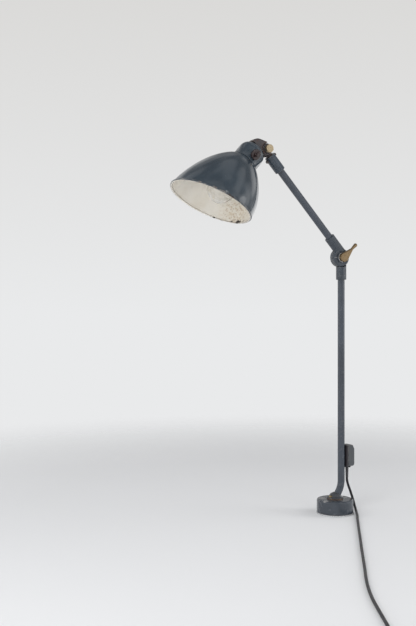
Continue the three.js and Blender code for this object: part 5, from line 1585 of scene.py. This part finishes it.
@dataclass(frozen=True)
class Studio:
    """The camera, a pale floor that fades into a pale surround, and soft lights."""

    eye: tuple[float, float, float] = (-1.1316, -1.5310, 0.4415)
    turn: float = -28.0
    lens: float = 49.05
    floor_radius: float = 5.0
    floor_drop: float = 0.2 * MM
    fade: tuple[float, float] = (1.9, 0.6)
    floor_tone: Colour = tone(238, 239, 241)
    zenith: Colour = tone(216, 215, 213)
    horizon: Colour = tone(233, 234, 235)
    light_high: float = 0.34
    light_low: float = 0.86
    lamps: tuple[Lamp, ...] = (
        Lamp("key", (-1.9, -1.5, 2.0), (-0.1, 0.0, 0.4), 1.6, 27.0, glint=False),
        Lamp("low", (-1.9, -1.0, 0.55), (-0.1, 0.0, 0.5), 1.1, 9.0, glint=False),
        Lamp("side", (2.2, -1.2, 1.4), (-0.1, 0.0, 0.4), 1.8, 20.0, glint=False),
        Lamp("window", (0.5, -2.6, 1.9), (0.0, 0.0, 0.3), 0.5, 3.0),
        Lamp("left_panel", (-2.0, 1.0, 1.7), (-0.2, 0.0, 0.7), 1.3, 5.0),
        Lamp("right_panel", (1.9, -1.3, 0.7), (-0.2, 0.0, 0.7), 0.9, 2.6),
    )

    def camera(self) -> None:
        """A level camera to the front left."""
        data = bpy.data.cameras.new("camera")
        data.lens, data.sensor_width, data.sensor_fit = self.lens, 36.0, "AUTO"
        camera = bpy.data.objects.new("camera", data)
        camera.location = self.eye
        camera.rotation_euler = (math.pi / 2, 0.0, math.radians(self.turn))
        bpy.context.scene.collection.objects.link(camera)
        bpy.context.scene.camera = camera

    def floor(self) -> None:
        """A flat disc that turns clear towards its edge, so that no horizon shows."""
        ring = np.concatenate([[1e-4], np.linspace(0.2, self.floor_radius, 24)])
        angle = np.linspace(0, 2 * np.pi, 96, endpoint=False)
        reach = ring[:, None]
        flat = 0 * reach * angle - self.floor_drop
        points = np.stack([reach * np.cos(angle), reach * np.sin(angle), flat], -1)
        mesh = joined("floor", [Surface(points)])
        g = Graph("pale_floor")
        where = g.place()
        far = g.node("VectorMath", {"operation": "LENGTH"}, {0: where}, "Value")
        cloud = g.noise(where, 0.3, 3)
        colour = g.mix(cloud * 0.5, self.floor_tone, times(self.floor_tone, 0.97))
        signals = {"Base Color": colour, "Roughness": 0.8 + cloud * 0.1, "Alpha": g.step(far, *self.fade)}
        mesh.materials.append(g.done({"Specular IOR Level": 0.2}, signals))
        floor = bpy.data.objects.new("floor", mesh)
        bpy.context.scene.collection.objects.link(floor)

    def surround(self) -> None:
        """An even pale surround, a little brighter to look at than it is to light by."""
        world = bpy.data.worlds.new("surround")
        bpy.context.scene.world = world
        world.use_nodes = True
        tree = world.node_tree
        tree.nodes.clear()
        seen, lit = tree.nodes.new("ShaderNodeBackground"), tree.nodes.new("ShaderNodeBackground")
        coords, parts = tree.nodes.new("ShaderNodeTexCoord"), tree.nodes.new("ShaderNodeSeparateXYZ")
        tree.links.new(coords.outputs["Generated"], parts.inputs[0])
        for shader, low, high, top in (
            (seen, (*self.horizon, 1.0), (*self.zenith, 1.0), 0.4),
            (lit, (*[self.light_low] * 3, 1.0), (*[self.light_high] * 3, 1.0), 0.9),
        ):
            rise, blend = tree.nodes.new("ShaderNodeMapRange"), tree.nodes.new("ShaderNodeMix")
            rise.inputs["From Min"].default_value = 0.0
            rise.inputs["From Max"].default_value = top
            blend.data_type = "RGBA"
            blend.inputs[6].default_value, blend.inputs[7].default_value = low, high
            tree.links.new(parts.outputs["Z"], rise.inputs["Value"])
            tree.links.new(rise.outputs["Result"], blend.inputs[0])
            tree.links.new(blend.outputs[2], shader.inputs["Color"])
        patches, spread = tree.nodes.new("ShaderNodeTexNoise"), tree.nodes.new("ShaderNodeMapRange")
        patches.inputs["Scale"].default_value, patches.inputs["Detail"].default_value = 2.6, 1.0
        for name, value in (("From Min", 0.42), ("From Max", 0.6), ("To Min", 0.5), ("To Max", 1.55)):
            spread.inputs[name].default_value = value
        tree.links.new(coords.outputs["Generated"], patches.inputs["Vector"])
        tree.links.new(patches.outputs["Fac"], spread.inputs["Value"])
        tree.links.new(spread.outputs["Result"], lit.inputs["Strength"])
        path, mix = tree.nodes.new("ShaderNodeLightPath"), tree.nodes.new("ShaderNodeMixShader")
        output = tree.nodes.new("ShaderNodeOutputWorld")
        tree.links.new(path.outputs["Is Camera Ray"], mix.inputs[0])
        tree.links.new(lit.outputs[0], mix.inputs[1])
        tree.links.new(seen.outputs[0], mix.inputs[2])
        tree.links.new(mix.outputs[0], output.inputs["Surface"])

    def build(self) -> None:
        """Makes the studio."""
        bpy.context.scene.view_settings.view_transform = "Standard"
        self.camera()
        self.floor()
        self.surround()
        for lamp in self.lamps:
            lamp.build()


def dress_frame() -> None:
    """Gives each frame node the finish of its record slot."""
    slots = {entry["node"]: entry["material_slot"] for entry in frame["record"]["subparts"]}
    for name, node in frame["nodes"].items():
        look = SlotLook[slots[name]].value
        for slot in node.material_slots:
            slot.material = look.material()


def main() -> None:
    """Builds the studio, the lead and each sub-assembly in order."""
    logging.basicConfig(level=logging.INFO, format="%(name)s: %(message)s")
    Studio().build()
    Lead().build()
    dress_frame()
    lower = (BenchBase(), Foot(), LowerArm(), SwitchBox(), Elbow())
    for part in (*lower, UpperArm(), HeadJoint(), Head(), Bulb()):
        LOG.info("building %s", type(part).__name__)
        part.build()


if __name__ == "__main__":
    main()
